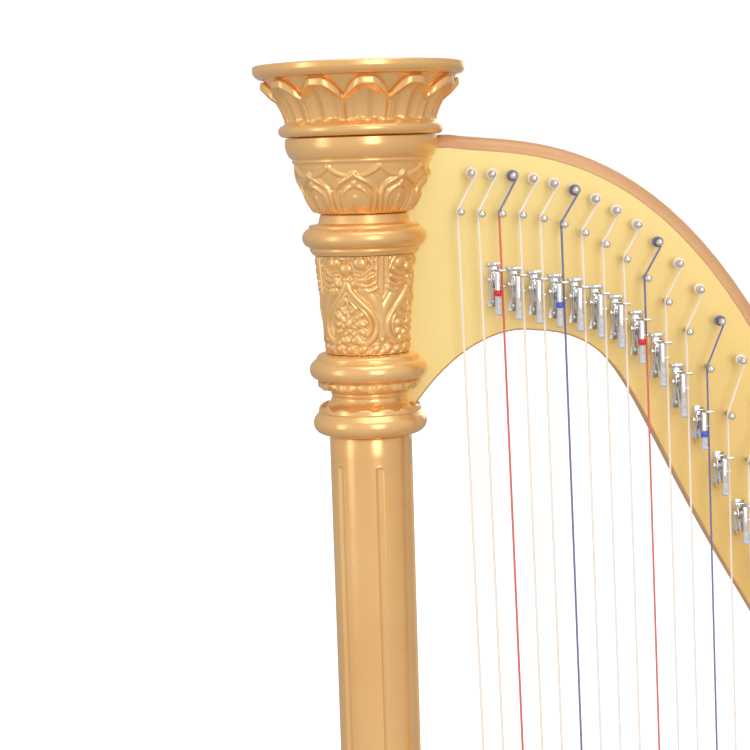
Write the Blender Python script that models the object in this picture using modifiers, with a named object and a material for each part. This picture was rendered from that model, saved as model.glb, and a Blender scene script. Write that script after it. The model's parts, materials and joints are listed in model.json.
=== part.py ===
"""Lever harp with 36 strings and 34 sharping levers.

Frame: metres, +Z up, +X from the pillar towards the player, -Y is the lever side.
The strings lie in the plane y = 0 and z = 0 is the floor under the four feet. Lengths
along x are measured from the pillar's axis, and one empty carries every piece, so that
the world's origin is under the middle of the harp. Every piece is its own object, and
each lever turns on its own axle.
"""

import math

import bmesh
import bpy
from mathutils import Matrix, Vector

# ---- driving dimensions (metres) ------------------------------------------------
STRING_COUNT = 36
FIRST_LEVER_STRING = 2          # the two lowest strings, counted from 0, have no lever
GAP = 0.0003                    # clearance between pieces that touch on the real harp

MIDDLE_X = 0.3021               # middle of the harp's whole length, from the pillar's axis
PILLAR_Y = 0.020                # the pillar stands a little behind the string plane
NECK_FACE_Y = 0.016             # lever side of the neck
NECK_THICKNESS = 0.036
NECK_MID_Y = NECK_FACE_Y + NECK_THICKNESS / 2
NECK_BACK_Y = NECK_FACE_Y + NECK_THICKNESS

FIRST_PIN_X = 0.0682            # bridge pin of the lowest string
PIN_SPACING = 0.01437           # from one bridge pin to the next, along x
BASS_LEAN = math.radians(1.3)   # lean of the lowest and of the highest string
TREBLE_LEAN = math.radians(0.5)
BASS_STRING_RADIUS = 0.00085
TREBLE_STRING_RADIUS = 0.00035

BOARD_ANGLE = math.radians(58.5)
BOARD_ORIGIN = Vector((0.098, 0.0, 0.170))
BOARD_THICKNESS = 0.004
RIB_THICKNESS = 0.005
INNER_BAR_THICKNESS = 0.0057
RIB_LOW, RIB_HIGH = -0.020, 0.915
BOX_LOW, BOX_HIGH = -0.090, 0.940            # ends of the soundbox along the soundboard
BOX_WIDTH_LOW, BOX_WIDTH_HIGH = 0.372, 0.112
BOX_DEPTH_LOW, BOX_DEPTH_HIGH = 0.245, 0.076
BOX_WALL = 0.006
BRACE_LENGTH = 0.010
BRACE_THICKNESS = 0.014
BRACE_CLEARANCE = 0.0025        # the braces' glue line, wide enough for the flat facets
BRACE_TRIM = 0.12               # angle that keeps the braces' ends off the soundboard
CAP_THICKNESS = 0.014
BASE_TOP = 0.105
FEET_HEIGHT = 0.022

TURNING_STEPS = 28

ALONG = Vector((math.cos(BOARD_ANGLE), 0.0, math.sin(BOARD_ANGLE)))
INWARD = Vector((math.sin(BOARD_ANGLE), 0.0, -math.cos(BOARD_ANGLE)))

# ---- curves of the neck, as cubic Bezier pieces in the XZ plane --------------------
BRIDGE_LINE = [
    ((0.072, 1.455), (0.077, 1.446), (0.188, 1.485), (0.255, 1.306)),
    ((0.255, 1.306), (0.302, 1.195), (0.375, 1.012), (0.540, 1.012)),
    ((0.540, 1.012), (0.555, 1.012), (0.565, 1.014), (0.585, 1.018)),
]
TUNING_LINE = [
    ((0.075, 1.482), (0.096, 1.478), (0.196, 1.489), (0.262, 1.347)),
    ((0.262, 1.347), (0.315, 1.233), (0.390, 1.040), (0.545, 1.040)),
    ((0.545, 1.040), (0.560, 1.040), (0.570, 1.042), (0.600, 1.048)),
]
FRET_LINE = [
    ((0.094, 1.4135), (0.160, 1.395), (0.196, 1.413), (0.249, 1.285)),
    ((0.249, 1.285), (0.284, 1.2005), (0.351, 1.000), (0.545, 1.000)),
    ((0.545, 1.000), (0.558, 1.000), (0.568, 1.002), (0.585, 1.006)),
]
# anchor, handle before it, handle after it
NECK_OUTLINE = [
    ((0.000, 1.5092), (0.000, 1.45), (0.02, 1.5092)),
    ((0.062, 1.5092), (0.040, 1.5092), (0.105, 1.501)),
    ((0.273, 1.383), (0.191, 1.515), (0.330, 1.290)),
    ((0.545, 1.067), (0.400, 1.067), (0.580, 1.067)),
    ((0.692, 0.995), (0.690, 1.050), (0.694, 0.960)),
    ((0.6675, 0.9410), (0.6850, 0.9350), (0.650, 0.9520)),
    ((0.5970, 0.9842), (0.615, 0.9732), (0.575, 0.972)),
    ((0.500, 0.964), (0.540, 0.962), (0.400, 0.969)),
    ((0.270, 1.164), (0.315, 1.081), (0.184, 1.309)),
    ((0.118, 1.369), (0.190, 1.366), (0.103, 1.372)),
    ((0.030, 1.314), (0.066, 1.367), (0.020, 1.302)),
    ((0.000, 1.300), (0.010, 1.300), (0.000, 1.35)),
]
OUTLINE_RESOLUTION = 8

# ---- turned profiles of the pillar, as (radius, height), top to bottom ---------------
CROWN = [(0, 1.5600), (0.0735, 1.5600), (0.0752, 1.5585), (0.0752, 1.5555), (0.0728, 1.5515),
         (0.0720, 1.5460), (0.0640, 1.5340), (0.0560, 1.5240), (0.0540, 1.5188), (0.0577, 1.5175),
         (0.0588, 1.5145), (0.0577, 1.5112), (0.0540, 1.5099), (0.0143, 1.5099), (0.0143, 1.530),
         (0, 1.530)]
BOWL = [(0, 1.4800), (0.0143, 1.4800), (0.0143, 1.5094), (0.0536, 1.5094), (0.0536, 1.5020),
        (0.0501, 1.4950), (0.0487, 1.4945), (0.0487, 1.4918), (0.0473, 1.4912),
        (0.0455, 1.4820), (0.0423, 1.4736), (0.0362, 1.4610), (0.0320, 1.4562), (0, 1.4562)]
UPPER_COLLAR = [(0, 1.4558), (0.0308, 1.4558), (0.0330, 1.4490), (0.0383, 1.4484),
                (0.0392, 1.4466), (0.0430, 1.4430), (0.0442, 1.4390), (0.0430, 1.4350),
                (0.0400, 1.4325), (0.0390, 1.4295), (0.0372, 1.4272), (0, 1.4272)]
DRUM = [(0, 1.4269), (0.0352, 1.4269), (0.0298, 1.3577), (0, 1.3577)]
LOWER_COLLAR = [(0, 1.3574), (0.0340, 1.3565), (0.0400, 1.3525), (0.0417, 1.3458),
                (0.0400, 1.3396), (0.0350, 1.3370), (0.0350, 1.3330), (0.0268, 1.3305),
                (0.0265, 1.3270), (0.0285, 1.3235), (0.0338, 1.3180), (0.0375, 1.3140),
                (0.0399, 1.3070), (0.0375, 1.3010), (0.0310, 1.2985), (0, 1.2985)]
SHAFT = [(0, 1.2982), (0.0295, 1.2982), (0.0288, 0.2400), (0.0065, 0.2400),
         (0.0065, 0.3100), (0, 0.3100)]
PILLAR_FOOT = [(0.0065, 0.2397), (0.0330, 0.2397), (0.0390, 0.2365), (0.0405, 0.2300),
               (0.0390, 0.2235), (0.0320, 0.2210), (0.0320, 0.2120), (0.0400, 0.1900),
               (0.0440, 0.1700), (0.0465, 0.1600), (0.0465, 0.1053), (0.0065, 0.1053)]
CROWN_DOWEL = [(0, 1.5290), (0.0130, 1.5290), (0.0140, 1.5280), (0.0140, 1.4815),
               (0.0130, 1.4805), (0, 1.4805)]
PILLAR_BOLT = [(0, 0.3050), (0.0060, 0.3050), (0.0060, 0.0440), (0.0120, 0.0440),
               (0.0120, 0.0360), (0, 0.0360)]

# ---- one sharping lever, measured from its axle; u is away from the neck, v is up -------
AXLE_OUT = 0.009                # axle in front of the neck face
FRET_ABOVE_AXLE = 0.0068
FRET_OUT = 0.0182               # fixed fret rod in front of the neck face
LEVER_TRAVEL = math.radians(85)
HANDLE_SIDE = [(-0.0020, 0.0020), (0.0020, 0.0022), (0.0085, -0.0012), (0.0110, -0.0055),
               (0.0120, -0.0238), (0.0100, -0.0238), (0.0088, -0.0070), (0.0045, -0.0042),
               (0.0008, -0.0062), (-0.0026, -0.0064), (-0.0030, -0.0030)]
HANDLE_X = (-0.0050, -0.0022)   # handle's two sides, measured from its string
SLEEVE_X = (-0.0057, -0.0015)
SLEEVE_OUT = (0.0094, 0.0124)
SLEEVE_UP = (-0.0240, -0.0120)
PUSHER_AT = (-0.0013, -0.0051)
PUSHER_RADIUS = 0.0008
PLATE_X = (-0.0100, -0.0009)
PLATE_UP = (-0.0198, 0.0118)
CHEEK_X = (-0.0076, -0.0067)
FORK_X = (-0.0018, -0.0011)
FORK_SIDE = [(-0.0085, 0.0080), (0.0100, 0.0080), (0.0100, 0.0060), (-0.0035, 0.0056),
             (-0.0035, 0.0018), (0.0018, 0.0018), (0.0018, -0.0018), (-0.0085, -0.0018)]

GOLD = (0.80, 0.55, 0.24)
PALE_GOLD = (0.93, 0.76, 0.40)


# ---- scene and materials --------------------------------------------------------------
def clear_scene():
    for item in list(bpy.data.objects):
        bpy.data.objects.remove(item, do_unlink=True)


def new_collection(name):
    collection = bpy.data.collections.new(name)
    bpy.context.scene.collection.children.link(collection)
    return collection


def make_material(name, colour, roughness, metallic):
    material = bpy.data.materials.new(name)
    material.use_nodes = True
    shader = material.node_tree.nodes["Principled BSDF"]
    shader.inputs["Base Color"].default_value = (*colour, 1.0)
    shader.inputs["Roughness"].default_value = roughness
    shader.inputs["Metallic"].default_value = metallic
    return material


def add_object(name, mesh, material, collection, smooth=True):
    item = bpy.data.objects.new(name, mesh)
    collection.objects.link(item)
    if material is not None and not mesh.materials:
        mesh.materials.append(material)
    if smooth:
        mesh.shade_smooth()
        mesh.set_sharp_from_angle(angle=math.radians(35))
    return item


def add_boolean(item, cutter, operation):
    modifier = item.modifiers.new(operation.lower(), "BOOLEAN")
    modifier.operation = operation
    modifier.object = cutter
    modifier.solver = "EXACT"


def hide_cutter(cutter):
    cutter.hide_render = True
    cutter.display_type = "WIRE"


# ---- building blocks --------------------------------------------------------------------
def box_into(work, low, high):
    """Add a box between two corners to a bmesh."""
    low, high = Vector(low), Vector(high)
    size = high - low
    matrix = Matrix.Translation((low + high) / 2) @ Matrix.Diagonal((*size, 1.0))
    bmesh.ops.create_cube(work, size=1.0, matrix=matrix)


def rod_into(work, start, end, radius, sides=6):
    """Add a round rod between two points to a bmesh."""
    start, end = Vector(start), Vector(end)
    axis = end - start
    turn = axis.to_track_quat("Z", "Y").to_matrix().to_4x4()
    matrix = Matrix.Translation((start + end) / 2) @ turn
    bmesh.ops.create_cone(work, cap_ends=True, segments=sides, radius1=radius,
                          radius2=radius, depth=axis.length, matrix=matrix)


def side_plate_into(work, outline, x_pair, place):
    """Extrude a side outline, given as (out, up), across x; place gives (out, up) in y and z."""
    low = [work.verts.new((x_pair[0], *place(out, up))) for out, up in outline]
    face = work.faces.new(low)
    grown = bmesh.ops.extrude_face_region(work, geom=[face])
    new_verts = [part for part in grown["geom"] if isinstance(part, bmesh.types.BMVert)]
    bmesh.ops.translate(work, verts=new_verts, vec=(x_pair[1] - x_pair[0], 0, 0))


def finish_bmesh(work, name):
    bmesh.ops.recalc_face_normals(work, faces=work.faces)
    mesh = bpy.data.meshes.new(name)
    work.to_mesh(mesh)
    work.free()
    return mesh


def fused_mesh(name, fill_functions, collection):
    """Fuse pieces that overlap into one closed body and return its mesh."""
    pieces = []
    for index, fill in enumerate(fill_functions):
        work = bmesh.new()
        fill(work)
        pieces.append(add_object(f"{name}_{index}", finish_bmesh(work, name), None,
                                 collection, smooth=False))
    for piece in pieces[1:]:
        add_boolean(pieces[0], piece, "UNION")
    depsgraph = bpy.context.evaluated_depsgraph_get()
    mesh = bpy.data.meshes.new_from_object(pieces[0].evaluated_get(depsgraph))
    for piece in pieces:
        bpy.data.objects.remove(piece, do_unlink=True)
    return mesh


def turned(name, profile, material, collection, y=PILLAR_Y, closed=False):
    """A turned piece: the profile's (radius, height) points screwed round the pillar's axis."""
    mesh = bpy.data.meshes.new(name)
    points = [(radius, 0.0, height) for radius, height in profile]
    edges = [(i, i + 1) for i in range(len(points) - 1)]
    if closed:
        edges.append((len(points) - 1, 0))
    mesh.from_pydata(points, edges, [])
    item = add_object(name, mesh, material, collection, smooth=False)
    item.location = (0.0, y, 0.0)
    screw = item.modifiers.new("turning", "SCREW")
    screw.steps = TURNING_STEPS
    screw.render_steps = TURNING_STEPS
    screw.use_merge_vertices = True
    screw.merge_threshold = 0.0001
    screw.use_smooth_shade = True
    return item


def mesh_from_curve(curve_object, merge=0.00001):
    """Turn a curve object into a welded mesh and remove the curve."""
    bpy.context.view_layer.update()
    depsgraph = bpy.context.evaluated_depsgraph_get()
    mesh = bpy.data.meshes.new_from_object(curve_object.evaluated_get(depsgraph))
    mesh.transform(curve_object.matrix_world)
    work = bmesh.new()
    work.from_mesh(mesh)
    bmesh.ops.remove_doubles(work, verts=work.verts, dist=merge)
    bmesh.ops.recalc_face_normals(work, faces=work.faces)
    work.to_mesh(mesh)
    work.free()
    data = curve_object.data
    bpy.data.objects.remove(curve_object, do_unlink=True)
    bpy.data.curves.remove(data)
    return mesh


def outline_mesh(name, anchors, thickness, collection):
    """A flat piece in the XZ plane from Bezier anchors, extruded along y about y = 0."""
    curve = bpy.data.curves.new(name, "CURVE")
    curve.dimensions = "2D"
    curve.fill_mode = "BOTH"
    curve.extrude = thickness / 2
    curve.resolution_u = OUTLINE_RESOLUTION
    spline = curve.splines.new("BEZIER")
    spline.bezier_points.add(len(anchors) - 1)
    spline.use_cyclic_u = True
    for point, (anchor, before, after) in zip(spline.bezier_points, anchors):
        point.handle_left_type = "FREE"
        point.handle_right_type = "FREE"
        point.co = (*anchor, 0.0)
        point.handle_left = (*before, 0.0)
        point.handle_right = (*after, 0.0)
    item = bpy.data.objects.new(name, curve)
    collection.objects.link(item)
    item.rotation_euler = (math.pi / 2, 0.0, 0.0)
    return mesh_from_curve(item)


# ---- strings and their places --------------------------------------------------------------
def bezier_point(piece, t):
    s = 1.0 - t
    weights = (s * s * s, 3 * s * s * t, 3 * s * t * t, t * t * t)
    return tuple(sum(w * point[k] for w, point in zip(weights, piece)) for k in (0, 1))


def height_on(line, x):
    """Height of a neck curve at x, found by halving the Bezier parameter."""
    piece = next((part for part in line if x <= part[3][0]), line[-1])
    low, high = 0.0, 1.0
    for _ in range(40):
        middle = (low + high) / 2
        if bezier_point(piece, middle)[0] < x:
            low = middle
        else:
            high = middle
    return bezier_point(piece, low)[1]


def string_fraction(index):
    return index / (STRING_COUNT - 1)


def string_radius(index):
    part = string_fraction(index)
    return BASS_STRING_RADIUS + (TREBLE_STRING_RADIUS - BASS_STRING_RADIUS) * part


def string_lean(index):
    return math.tan(BASS_LEAN + (TREBLE_LEAN - BASS_LEAN) * string_fraction(index))


def bridge_pin_at(index):
    x = FIRST_PIN_X + PIN_SPACING * index
    return Vector((x, 0.0, height_on(BRIDGE_LINE, x)))


BRIDGE_PIN_RADIUS = 0.0011
TUNING_PIN_RADIUS = 0.0033
STRING_BESIDE_PIN = 0.0024      # string centre to the left of its bridge pin's centre
TUNING_PIN_AHEAD = 0.0079       # tuning pin to the right of its bridge pin


def string_top(index):
    return bridge_pin_at(index) - Vector((STRING_BESIDE_PIN, 0.0, 0.0))


def tuning_pin_at(index):
    x = bridge_pin_at(index).x + TUNING_PIN_AHEAD
    return Vector((x, 0.004, height_on(TUNING_LINE, x)))


def string_x(index, height):
    top = string_top(index)
    return top.x + (top.z - height) * string_lean(index)


def board_point(along, inward, y=0.0):
    return BOARD_ORIGIN + ALONG * along + INWARD * inward + Vector((0.0, y, 0.0))


def string_foot(index, inward=-0.003):
    """Where a string meets the plane that lies the given depth into the soundboard."""
    top = string_top(index)
    lean = string_lean(index)
    start = board_point(0.0, inward)
    along = (top.x + (top.z - start.z) * lean - start.x) / (ALONG.x + ALONG.z * lean)
    return board_point(along, inward)


def lever_strings():
    return range(FIRST_LEVER_STRING, STRING_COUNT)


def axle_at(index):
    """Axle centre of a lever, on its string's x."""
    top = string_top(index)
    fret_height = height_on(FRET_LINE, max(top.x, FRET_LINE[0][0][0]))
    height = fret_height - FRET_ABOVE_AXLE
    return Vector((string_x(index, height), NECK_FACE_Y - AXLE_OUT, height))


# ---- pillar ----------------------------------------------------------------------------------
def build_pillar(parts, gold, wood, steel):
    for name, profile in (("crown", CROWN), ("capital_bowl", BOWL), ("upper_collar", UPPER_COLLAR),
                          ("carved_drum", DRUM), ("lower_collar", LOWER_COLLAR),
                          ("pillar_shaft", SHAFT)):
        turned(name, profile, gold, parts)
    turned("pillar_foot", PILLAR_FOOT, gold, parts, closed=True)
    turned("crown_dowel", CROWN_DOWEL, wood, parts)
    turned("pillar_bolt", PILLAR_BOLT, steel, parts)


def pillar_envelope():
    """The pillar's outer profile plus clearance, to cope the end of the neck."""
    outer = [(0.0, 1.530), (0.0590, 1.530)]
    for profile in (BOWL, UPPER_COLLAR, DRUM, LOWER_COLLAR):
        outer += [(radius + GAP, height) for radius, height in profile
                  if radius > 0.02]
    return outer + [(0.0295, 1.270), (0.0, 1.270)]


# ---- neck with its pins and lever brackets ----------------------------------------------------
def pins_into(work):
    for index in range(STRING_COUNT):
        pin = bridge_pin_at(index)
        rod_into(work, (pin.x, -0.005, pin.z), (pin.x, NECK_FACE_Y + 0.001, pin.z),
                 BRIDGE_PIN_RADIUS)
        peg = tuning_pin_at(index)
        rod_into(work, (peg.x, -0.002, peg.z), (peg.x, NECK_FACE_Y + 0.001, peg.z),
                 TUNING_PIN_RADIUS)
        half = 0.0024
        box_into(work, (peg.x - half, NECK_BACK_Y - 0.001, peg.z - half),
                 (peg.x + half, NECK_BACK_Y + 0.016, peg.z + half))


def bracket_place(axle):
    return lambda out, up: (axle.y - out, axle.z + up)


def bracket_mesh(collection):
    """A lever's bracket with the axle at the origin and the string at x = 0."""
    place = bracket_place(Vector((0.0, 0.0, 0.0)))

    def plate(work):
        box_into(work, (PLATE_X[0], AXLE_OUT - 0.0015, PLATE_UP[0]),
                 (PLATE_X[1], AXLE_OUT + 0.0010, PLATE_UP[1]))

    def fork(work):
        side_plate_into(work, FORK_SIDE, FORK_X, place)

    def cheek(work):
        box_into(work, (CHEEK_X[0], -0.0018, -0.0018), (CHEEK_X[1], 0.0082, 0.0018))

    def fret_rod(work):
        y, z = place(FRET_OUT - AXLE_OUT, FRET_ABOVE_AXLE)
        rod_into(work, (-0.0015, y, z), (0.0025, y, z), 0.0010)

    return fused_mesh("bracket", (plate, fork, cheek, fret_rod), collection)


def brackets_into(work, collection):
    """Every bracket, each in place over its string."""
    single = bracket_mesh(collection)
    for index in lever_strings():
        copy = single.copy()
        copy.transform(Matrix.Translation(axle_at(index)))
        work.from_mesh(copy)
        bpy.data.meshes.remove(copy)
    bpy.data.meshes.remove(single)


def build_neck(parts, cutters, material):
    mesh = outline_mesh("neck", NECK_OUTLINE, NECK_THICKNESS, parts)
    neck = add_object("neck", mesh, material, parts)
    neck.location.y = NECK_MID_Y
    envelope = turned("pillar_envelope", pillar_envelope(), None, cutters)
    hide_cutter(envelope)
    add_boolean(neck, envelope, "DIFFERENCE")
    pins = bmesh.new()
    pins_into(pins)
    brackets = bmesh.new()
    brackets_into(brackets, cutters)
    for name, work in (("pins", pins), ("brackets", brackets)):
        group = add_object(name, finish_bmesh(work, name), None, cutters, smooth=False)
        hide_cutter(group)
        add_boolean(neck, group, "UNION")


# ---- levers ------------------------------------------------------------------------------------
def lever_mesh(collection):
    """A lever with its axle at the origin and its string at x = 0."""
    place = bracket_place(Vector((0.0, 0.0, 0.0)))

    def handle(work):
        side_plate_into(work, HANDLE_SIDE, HANDLE_X, place)

    def axle(work):
        rod_into(work, (-0.0064, 0, 0), (-0.0021, 0, 0), 0.0014)

    def pusher(work):
        y, z = place(*PUSHER_AT)
        rod_into(work, (-0.0046, y, z), (0.0021, y, z), PUSHER_RADIUS)

    def sleeve(work):
        box_into(work, (SLEEVE_X[0], -SLEEVE_OUT[1], SLEEVE_UP[0]),
                 (SLEEVE_X[1], -SLEEVE_OUT[0], SLEEVE_UP[1]))

    return fused_mesh("lever", (handle, axle, pusher, sleeve), collection)


def build_levers(parts, material):
    mesh = lever_mesh(parts)
    mesh.materials.clear()
    mesh.materials.append(material)
    for number, index in enumerate(lever_strings(), start=1):
        lever = add_object(f"lever_{number:02d}", mesh, material, parts, smooth=False)
        lever.location = axle_at(index)


def tapered_bar(name, low, high, near, far, half_low, half_high):
    """A flat bar in the soundboard's frame: ends along the board, depths into it, half widths."""
    work = bmesh.new()
    bmesh.ops.create_cube(work, size=1.0)
    for vert in work.verts:
        half = half_high if vert.co.z > 0 else half_low
        along = high if vert.co.z > 0 else low
        inward = far if vert.co.x > 0 else near
        vert.co = board_point(along, inward, half if vert.co.y > 0 else -half)
    return finish_bmesh(work, name)


# ---- strings and string rib ----------------------------------------------------------------------
def string_curve(index, collection):
    """One string: from beside its tuning pin, round its bridge pin, down to the rib."""
    peg = tuning_pin_at(index)
    start = peg + Vector((TUNING_PIN_RADIUS + string_radius(index) + GAP, 0.0, -0.001))
    points = [start, string_top(index), string_foot(index)]
    curve = bpy.data.curves.new("string", "CURVE")
    curve.dimensions = "3D"
    curve.bevel_depth = string_radius(index)
    curve.bevel_resolution = 1
    curve.use_fill_caps = True
    spline = curve.splines.new("POLY")
    spline.points.add(len(points) - 1)
    for place, point in zip(spline.points, points):
        place.co = (*point, 1.0)
    item = bpy.data.objects.new("string", curve)
    collection.objects.link(item)
    return item


def build_strings(parts, cutters, material):
    work = bmesh.new()
    for index in range(STRING_COUNT):
        work.from_mesh(mesh_from_curve(string_curve(index, cutters)))
    strings = add_object("strings_alone", finish_bmesh(work, "strings"), None, cutters,
                         smooth=False)
    hide_cutter(strings)
    mesh = tapered_bar("rib", RIB_LOW, RIB_HIGH, -GAP - RIB_THICKNESS, -GAP, 0.014, 0.009)
    rib = add_object("strings_on_rib", mesh, material, parts, smooth=False)
    add_boolean(rib, strings, "UNION")


# ---- soundbox ---------------------------------------------------------------------------------------
def box_share(along):
    return (along - BOX_LOW) / (BOX_HIGH - BOX_LOW)


SECTION_STEPS = 14


def section_point(along, angle, inset=0.0):
    """A point of the D-shaped section: angle 0 and 180 degrees are the soundboard's edges."""
    share = box_share(along)
    half_width = (BOX_WIDTH_LOW + (BOX_WIDTH_HIGH - BOX_WIDTH_LOW) * share) / 2 - inset
    depth = BOX_DEPTH_LOW + (BOX_DEPTH_HIGH - BOX_DEPTH_LOW) * share - inset
    inward = BOARD_THICKNESS + (depth - BOARD_THICKNESS) * math.sin(angle)
    return board_point(along, inward, half_width * math.cos(angle))


def curved_strip(name, stations, inset, thickness, trim, material, collection):
    """An open D-shaped surface along the box, thickened inwards; trim shortens its ends."""
    angles = [min(max(math.pi * k / SECTION_STEPS, trim), math.pi - trim)
              for k in range(SECTION_STEPS + 1)]
    work = bmesh.new()
    rows = []
    for along in stations:
        rows.append([work.verts.new(section_point(along, angle, inset)) for angle in angles])
    for row, following in zip(rows, rows[1:]):
        for k in range(SECTION_STEPS):
            work.faces.new((row[k], row[k + 1], following[k + 1], following[k]))
    mesh = finish_outward(work, name)
    item = add_object(name, mesh, material, collection, smooth=False)
    solidify = item.modifiers.new("wall", "SOLIDIFY")
    solidify.thickness = thickness
    solidify.offset = -1.0
    return item


def finish_outward(work, name):
    """Point an open strip's faces away from the middle of the box."""
    centre = sum((vert.co for vert in work.verts), Vector()) / len(work.verts)
    bmesh.ops.recalc_face_normals(work, faces=work.faces)
    work.faces.ensure_lookup_table()
    face = work.faces[len(work.faces) // 2]
    if face.normal.dot(face.calc_center_median() - centre) < 0:
        bmesh.ops.reverse_faces(work, faces=work.faces)
    mesh = bpy.data.meshes.new(name)
    work.to_mesh(mesh)
    work.free()
    return mesh


PORTS = ((0.180, 0.050, 0.038), (0.370, 0.046, 0.035), (0.550, 0.042, 0.031),
         (0.720, 0.036, 0.026))     # place along the box, half length, half width


def build_soundbox(parts, cutters, gold, wood):
    shell = curved_strip("soundbox_shell", (BOX_LOW, BOX_HIGH), 0.0, BOX_WALL, 0.0, gold, parts)
    work = bmesh.new()
    for along, half_length, half_width in PORTS:
        depth = (section_point(along, math.pi / 2) - board_point(along, 0.0)).length
        matrix = Matrix.Translation(board_point(along, depth))
        matrix @= INWARD.to_track_quat("Z", "Y").to_matrix().to_4x4()
        sized = matrix @ Matrix.Diagonal((half_length, half_width, 1.0, 1.0))
        bmesh.ops.create_cone(work, cap_ends=True, segments=20, radius1=1.0, radius2=1.0,
                              depth=0.08, matrix=sized)
    ports = add_object("port_cutters", finish_bmesh(work, "ports"), None, cutters, smooth=False)
    hide_cutter(ports)
    add_boolean(shell, ports, "DIFFERENCE")
    work = bmesh.new()
    box_into(work, (-0.2, -0.4, -0.3), (0.6, 0.4, BASE_TOP + GAP))
    floor = add_object("floor_cutter", finish_bmesh(work, "floor"), None, cutters, smooth=False)
    hide_cutter(floor)
    add_boolean(shell, floor, "DIFFERENCE")
    seat = add_object("board_seat_cutter",
                      tapered_bar("seat", BOX_LOW - 0.1, 1.0, -0.02, BOARD_THICKNESS + GAP, 0.3,
                                  0.3), None, cutters, smooth=False)
    hide_cutter(seat)
    add_boolean(shell, seat, "DIFFERENCE")
    build_soundboard(parts, floor, wood)
    build_cap(parts, seat, gold)
    for name, along in (("brace_lower", 0.060), ("brace_middle", 0.270), ("brace_upper", 0.460)):
        curved_strip(name, (along, along + BRACE_LENGTH), BOX_WALL + BRACE_CLEARANCE,
                     BRACE_THICKNESS, BRACE_TRIM, wood, parts)


def build_soundboard(parts, floor, wood):
    mesh = tapered_bar("soundboard", BOX_LOW, BOX_HIGH + CAP_THICKNESS, 0.0, BOARD_THICKNESS,
                       BOX_WIDTH_LOW / 2, BOX_WIDTH_HIGH / 2)
    board = add_object("soundboard", mesh, wood, parts, smooth=False)
    add_boolean(board, floor, "DIFFERENCE")
    mesh = tapered_bar("inner_string_bar", RIB_LOW, RIB_HIGH, BOARD_THICKNESS + GAP,
                       BOARD_THICKNESS + GAP + INNER_BAR_THICKNESS, 0.010, 0.010)
    add_object("inner_string_bar", mesh, wood, parts, smooth=False)


def build_cap(parts, seat, gold):
    """The block that closes the upper end of the soundbox under the neck's shoulder."""
    work = bmesh.new()
    low = BOX_HIGH + GAP
    ring = [work.verts.new(section_point(low, math.pi * k / SECTION_STEPS))
            for k in range(SECTION_STEPS + 1)]
    face = work.faces.new(ring)
    grown = bmesh.ops.extrude_face_region(work, geom=[face])
    tops = [part for part in grown["geom"] if isinstance(part, bmesh.types.BMVert)]
    bmesh.ops.translate(work, verts=tops, vec=ALONG * (CAP_THICKNESS - 2 * GAP))
    cap = add_object("soundbox_cap", finish_bmesh(work, "soundbox_cap"), gold, parts,
                     smooth=False)
    add_boolean(cap, seat, "DIFFERENCE")


# ---- base ----------------------------------------------------------------------------------------------
def base_outline(grow):
    half = [(-0.078, 0.062), (0.050, 0.165), (0.200, 0.196), (0.345, 0.165)]
    middle_x = 0.14
    side = [(x + math.copysign(grow, x - middle_x), y + grow) for x, y in half]
    return side + [(x, -y) for x, y in reversed(side)]


def base_slab(name, low, high, grow, material, collection):
    work = bmesh.new()
    face = work.faces.new([work.verts.new((x, y, low)) for x, y in base_outline(grow)])
    grown = bmesh.ops.extrude_face_region(work, geom=[face])
    tops = [part for part in grown["geom"] if isinstance(part, bmesh.types.BMVert)]
    bmesh.ops.translate(work, verts=tops, vec=(0.0, 0.0, high - low))
    bmesh.ops.recalc_face_normals(work, faces=work.faces)
    uprights = [edge for edge in work.edges
                if abs(edge.verts[0].co.z - edge.verts[1].co.z) > 0.5 * (high - low)]
    bmesh.ops.bevel(work, geom=uprights, offset=0.022, segments=4, affect="EDGES", profile=0.5)
    item = add_object(name, finish_bmesh(work, name), material, collection, smooth=False)
    return item


def bolt_hole(cutters):
    work = bmesh.new()
    rod_into(work, (0, PILLAR_Y, 0.015), (0, PILLAR_Y, 0.0444), 0.0126, sides=16)
    wide = add_object("bolt_head_hole", finish_bmesh(work, "hole"), None, cutters, smooth=False)
    hide_cutter(wide)
    work = bmesh.new()
    rod_into(work, (0, PILLAR_Y, 0.030), (0, PILLAR_Y, 0.140), 0.0066, sides=16)
    narrow = add_object("bolt_hole", finish_bmesh(work, "hole"), None, cutters, smooth=False)
    hide_cutter(narrow)
    return wide, narrow


def build_base(parts, cutters, gold, rubber):
    block = base_slab("base_block", 0.0500, BASE_TOP, 0.0, gold, parts)
    plinth = base_slab("base_plinth", FEET_HEIGHT, 0.0500 - GAP, 0.010, gold, parts)
    wide, narrow = bolt_hole(cutters)
    for slab in (block, plinth):
        add_boolean(slab, narrow, "DIFFERENCE")
    add_boolean(plinth, wide, "DIFFERENCE")
    corners = (("foot_front_left", -0.055, -0.045), ("foot_front_right", -0.055, 0.045),
               ("foot_rear_left", 0.315, -0.145), ("foot_rear_right", 0.315, 0.145))
    for name, x, y in corners:
        work = bmesh.new()
        top = FEET_HEIGHT - GAP
        matrix = Matrix.Translation((x, y, top / 2))
        bmesh.ops.create_cone(work, cap_ends=True, segments=20, radius1=0.017, radius2=0.021,
                              depth=top, matrix=matrix)
        add_object(name, finish_bmesh(work, name), rubber, parts)


def centre_on_origin():
    """Carry every piece and cutter on one empty, so the harp stands over the origin."""
    middle = bpy.data.objects.new("harp_middle", None)
    bpy.context.scene.collection.objects.link(middle)
    middle.location.x = -MIDDLE_X
    for item in bpy.data.objects:
        if item.type == "MESH":
            item.parent = middle


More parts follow.
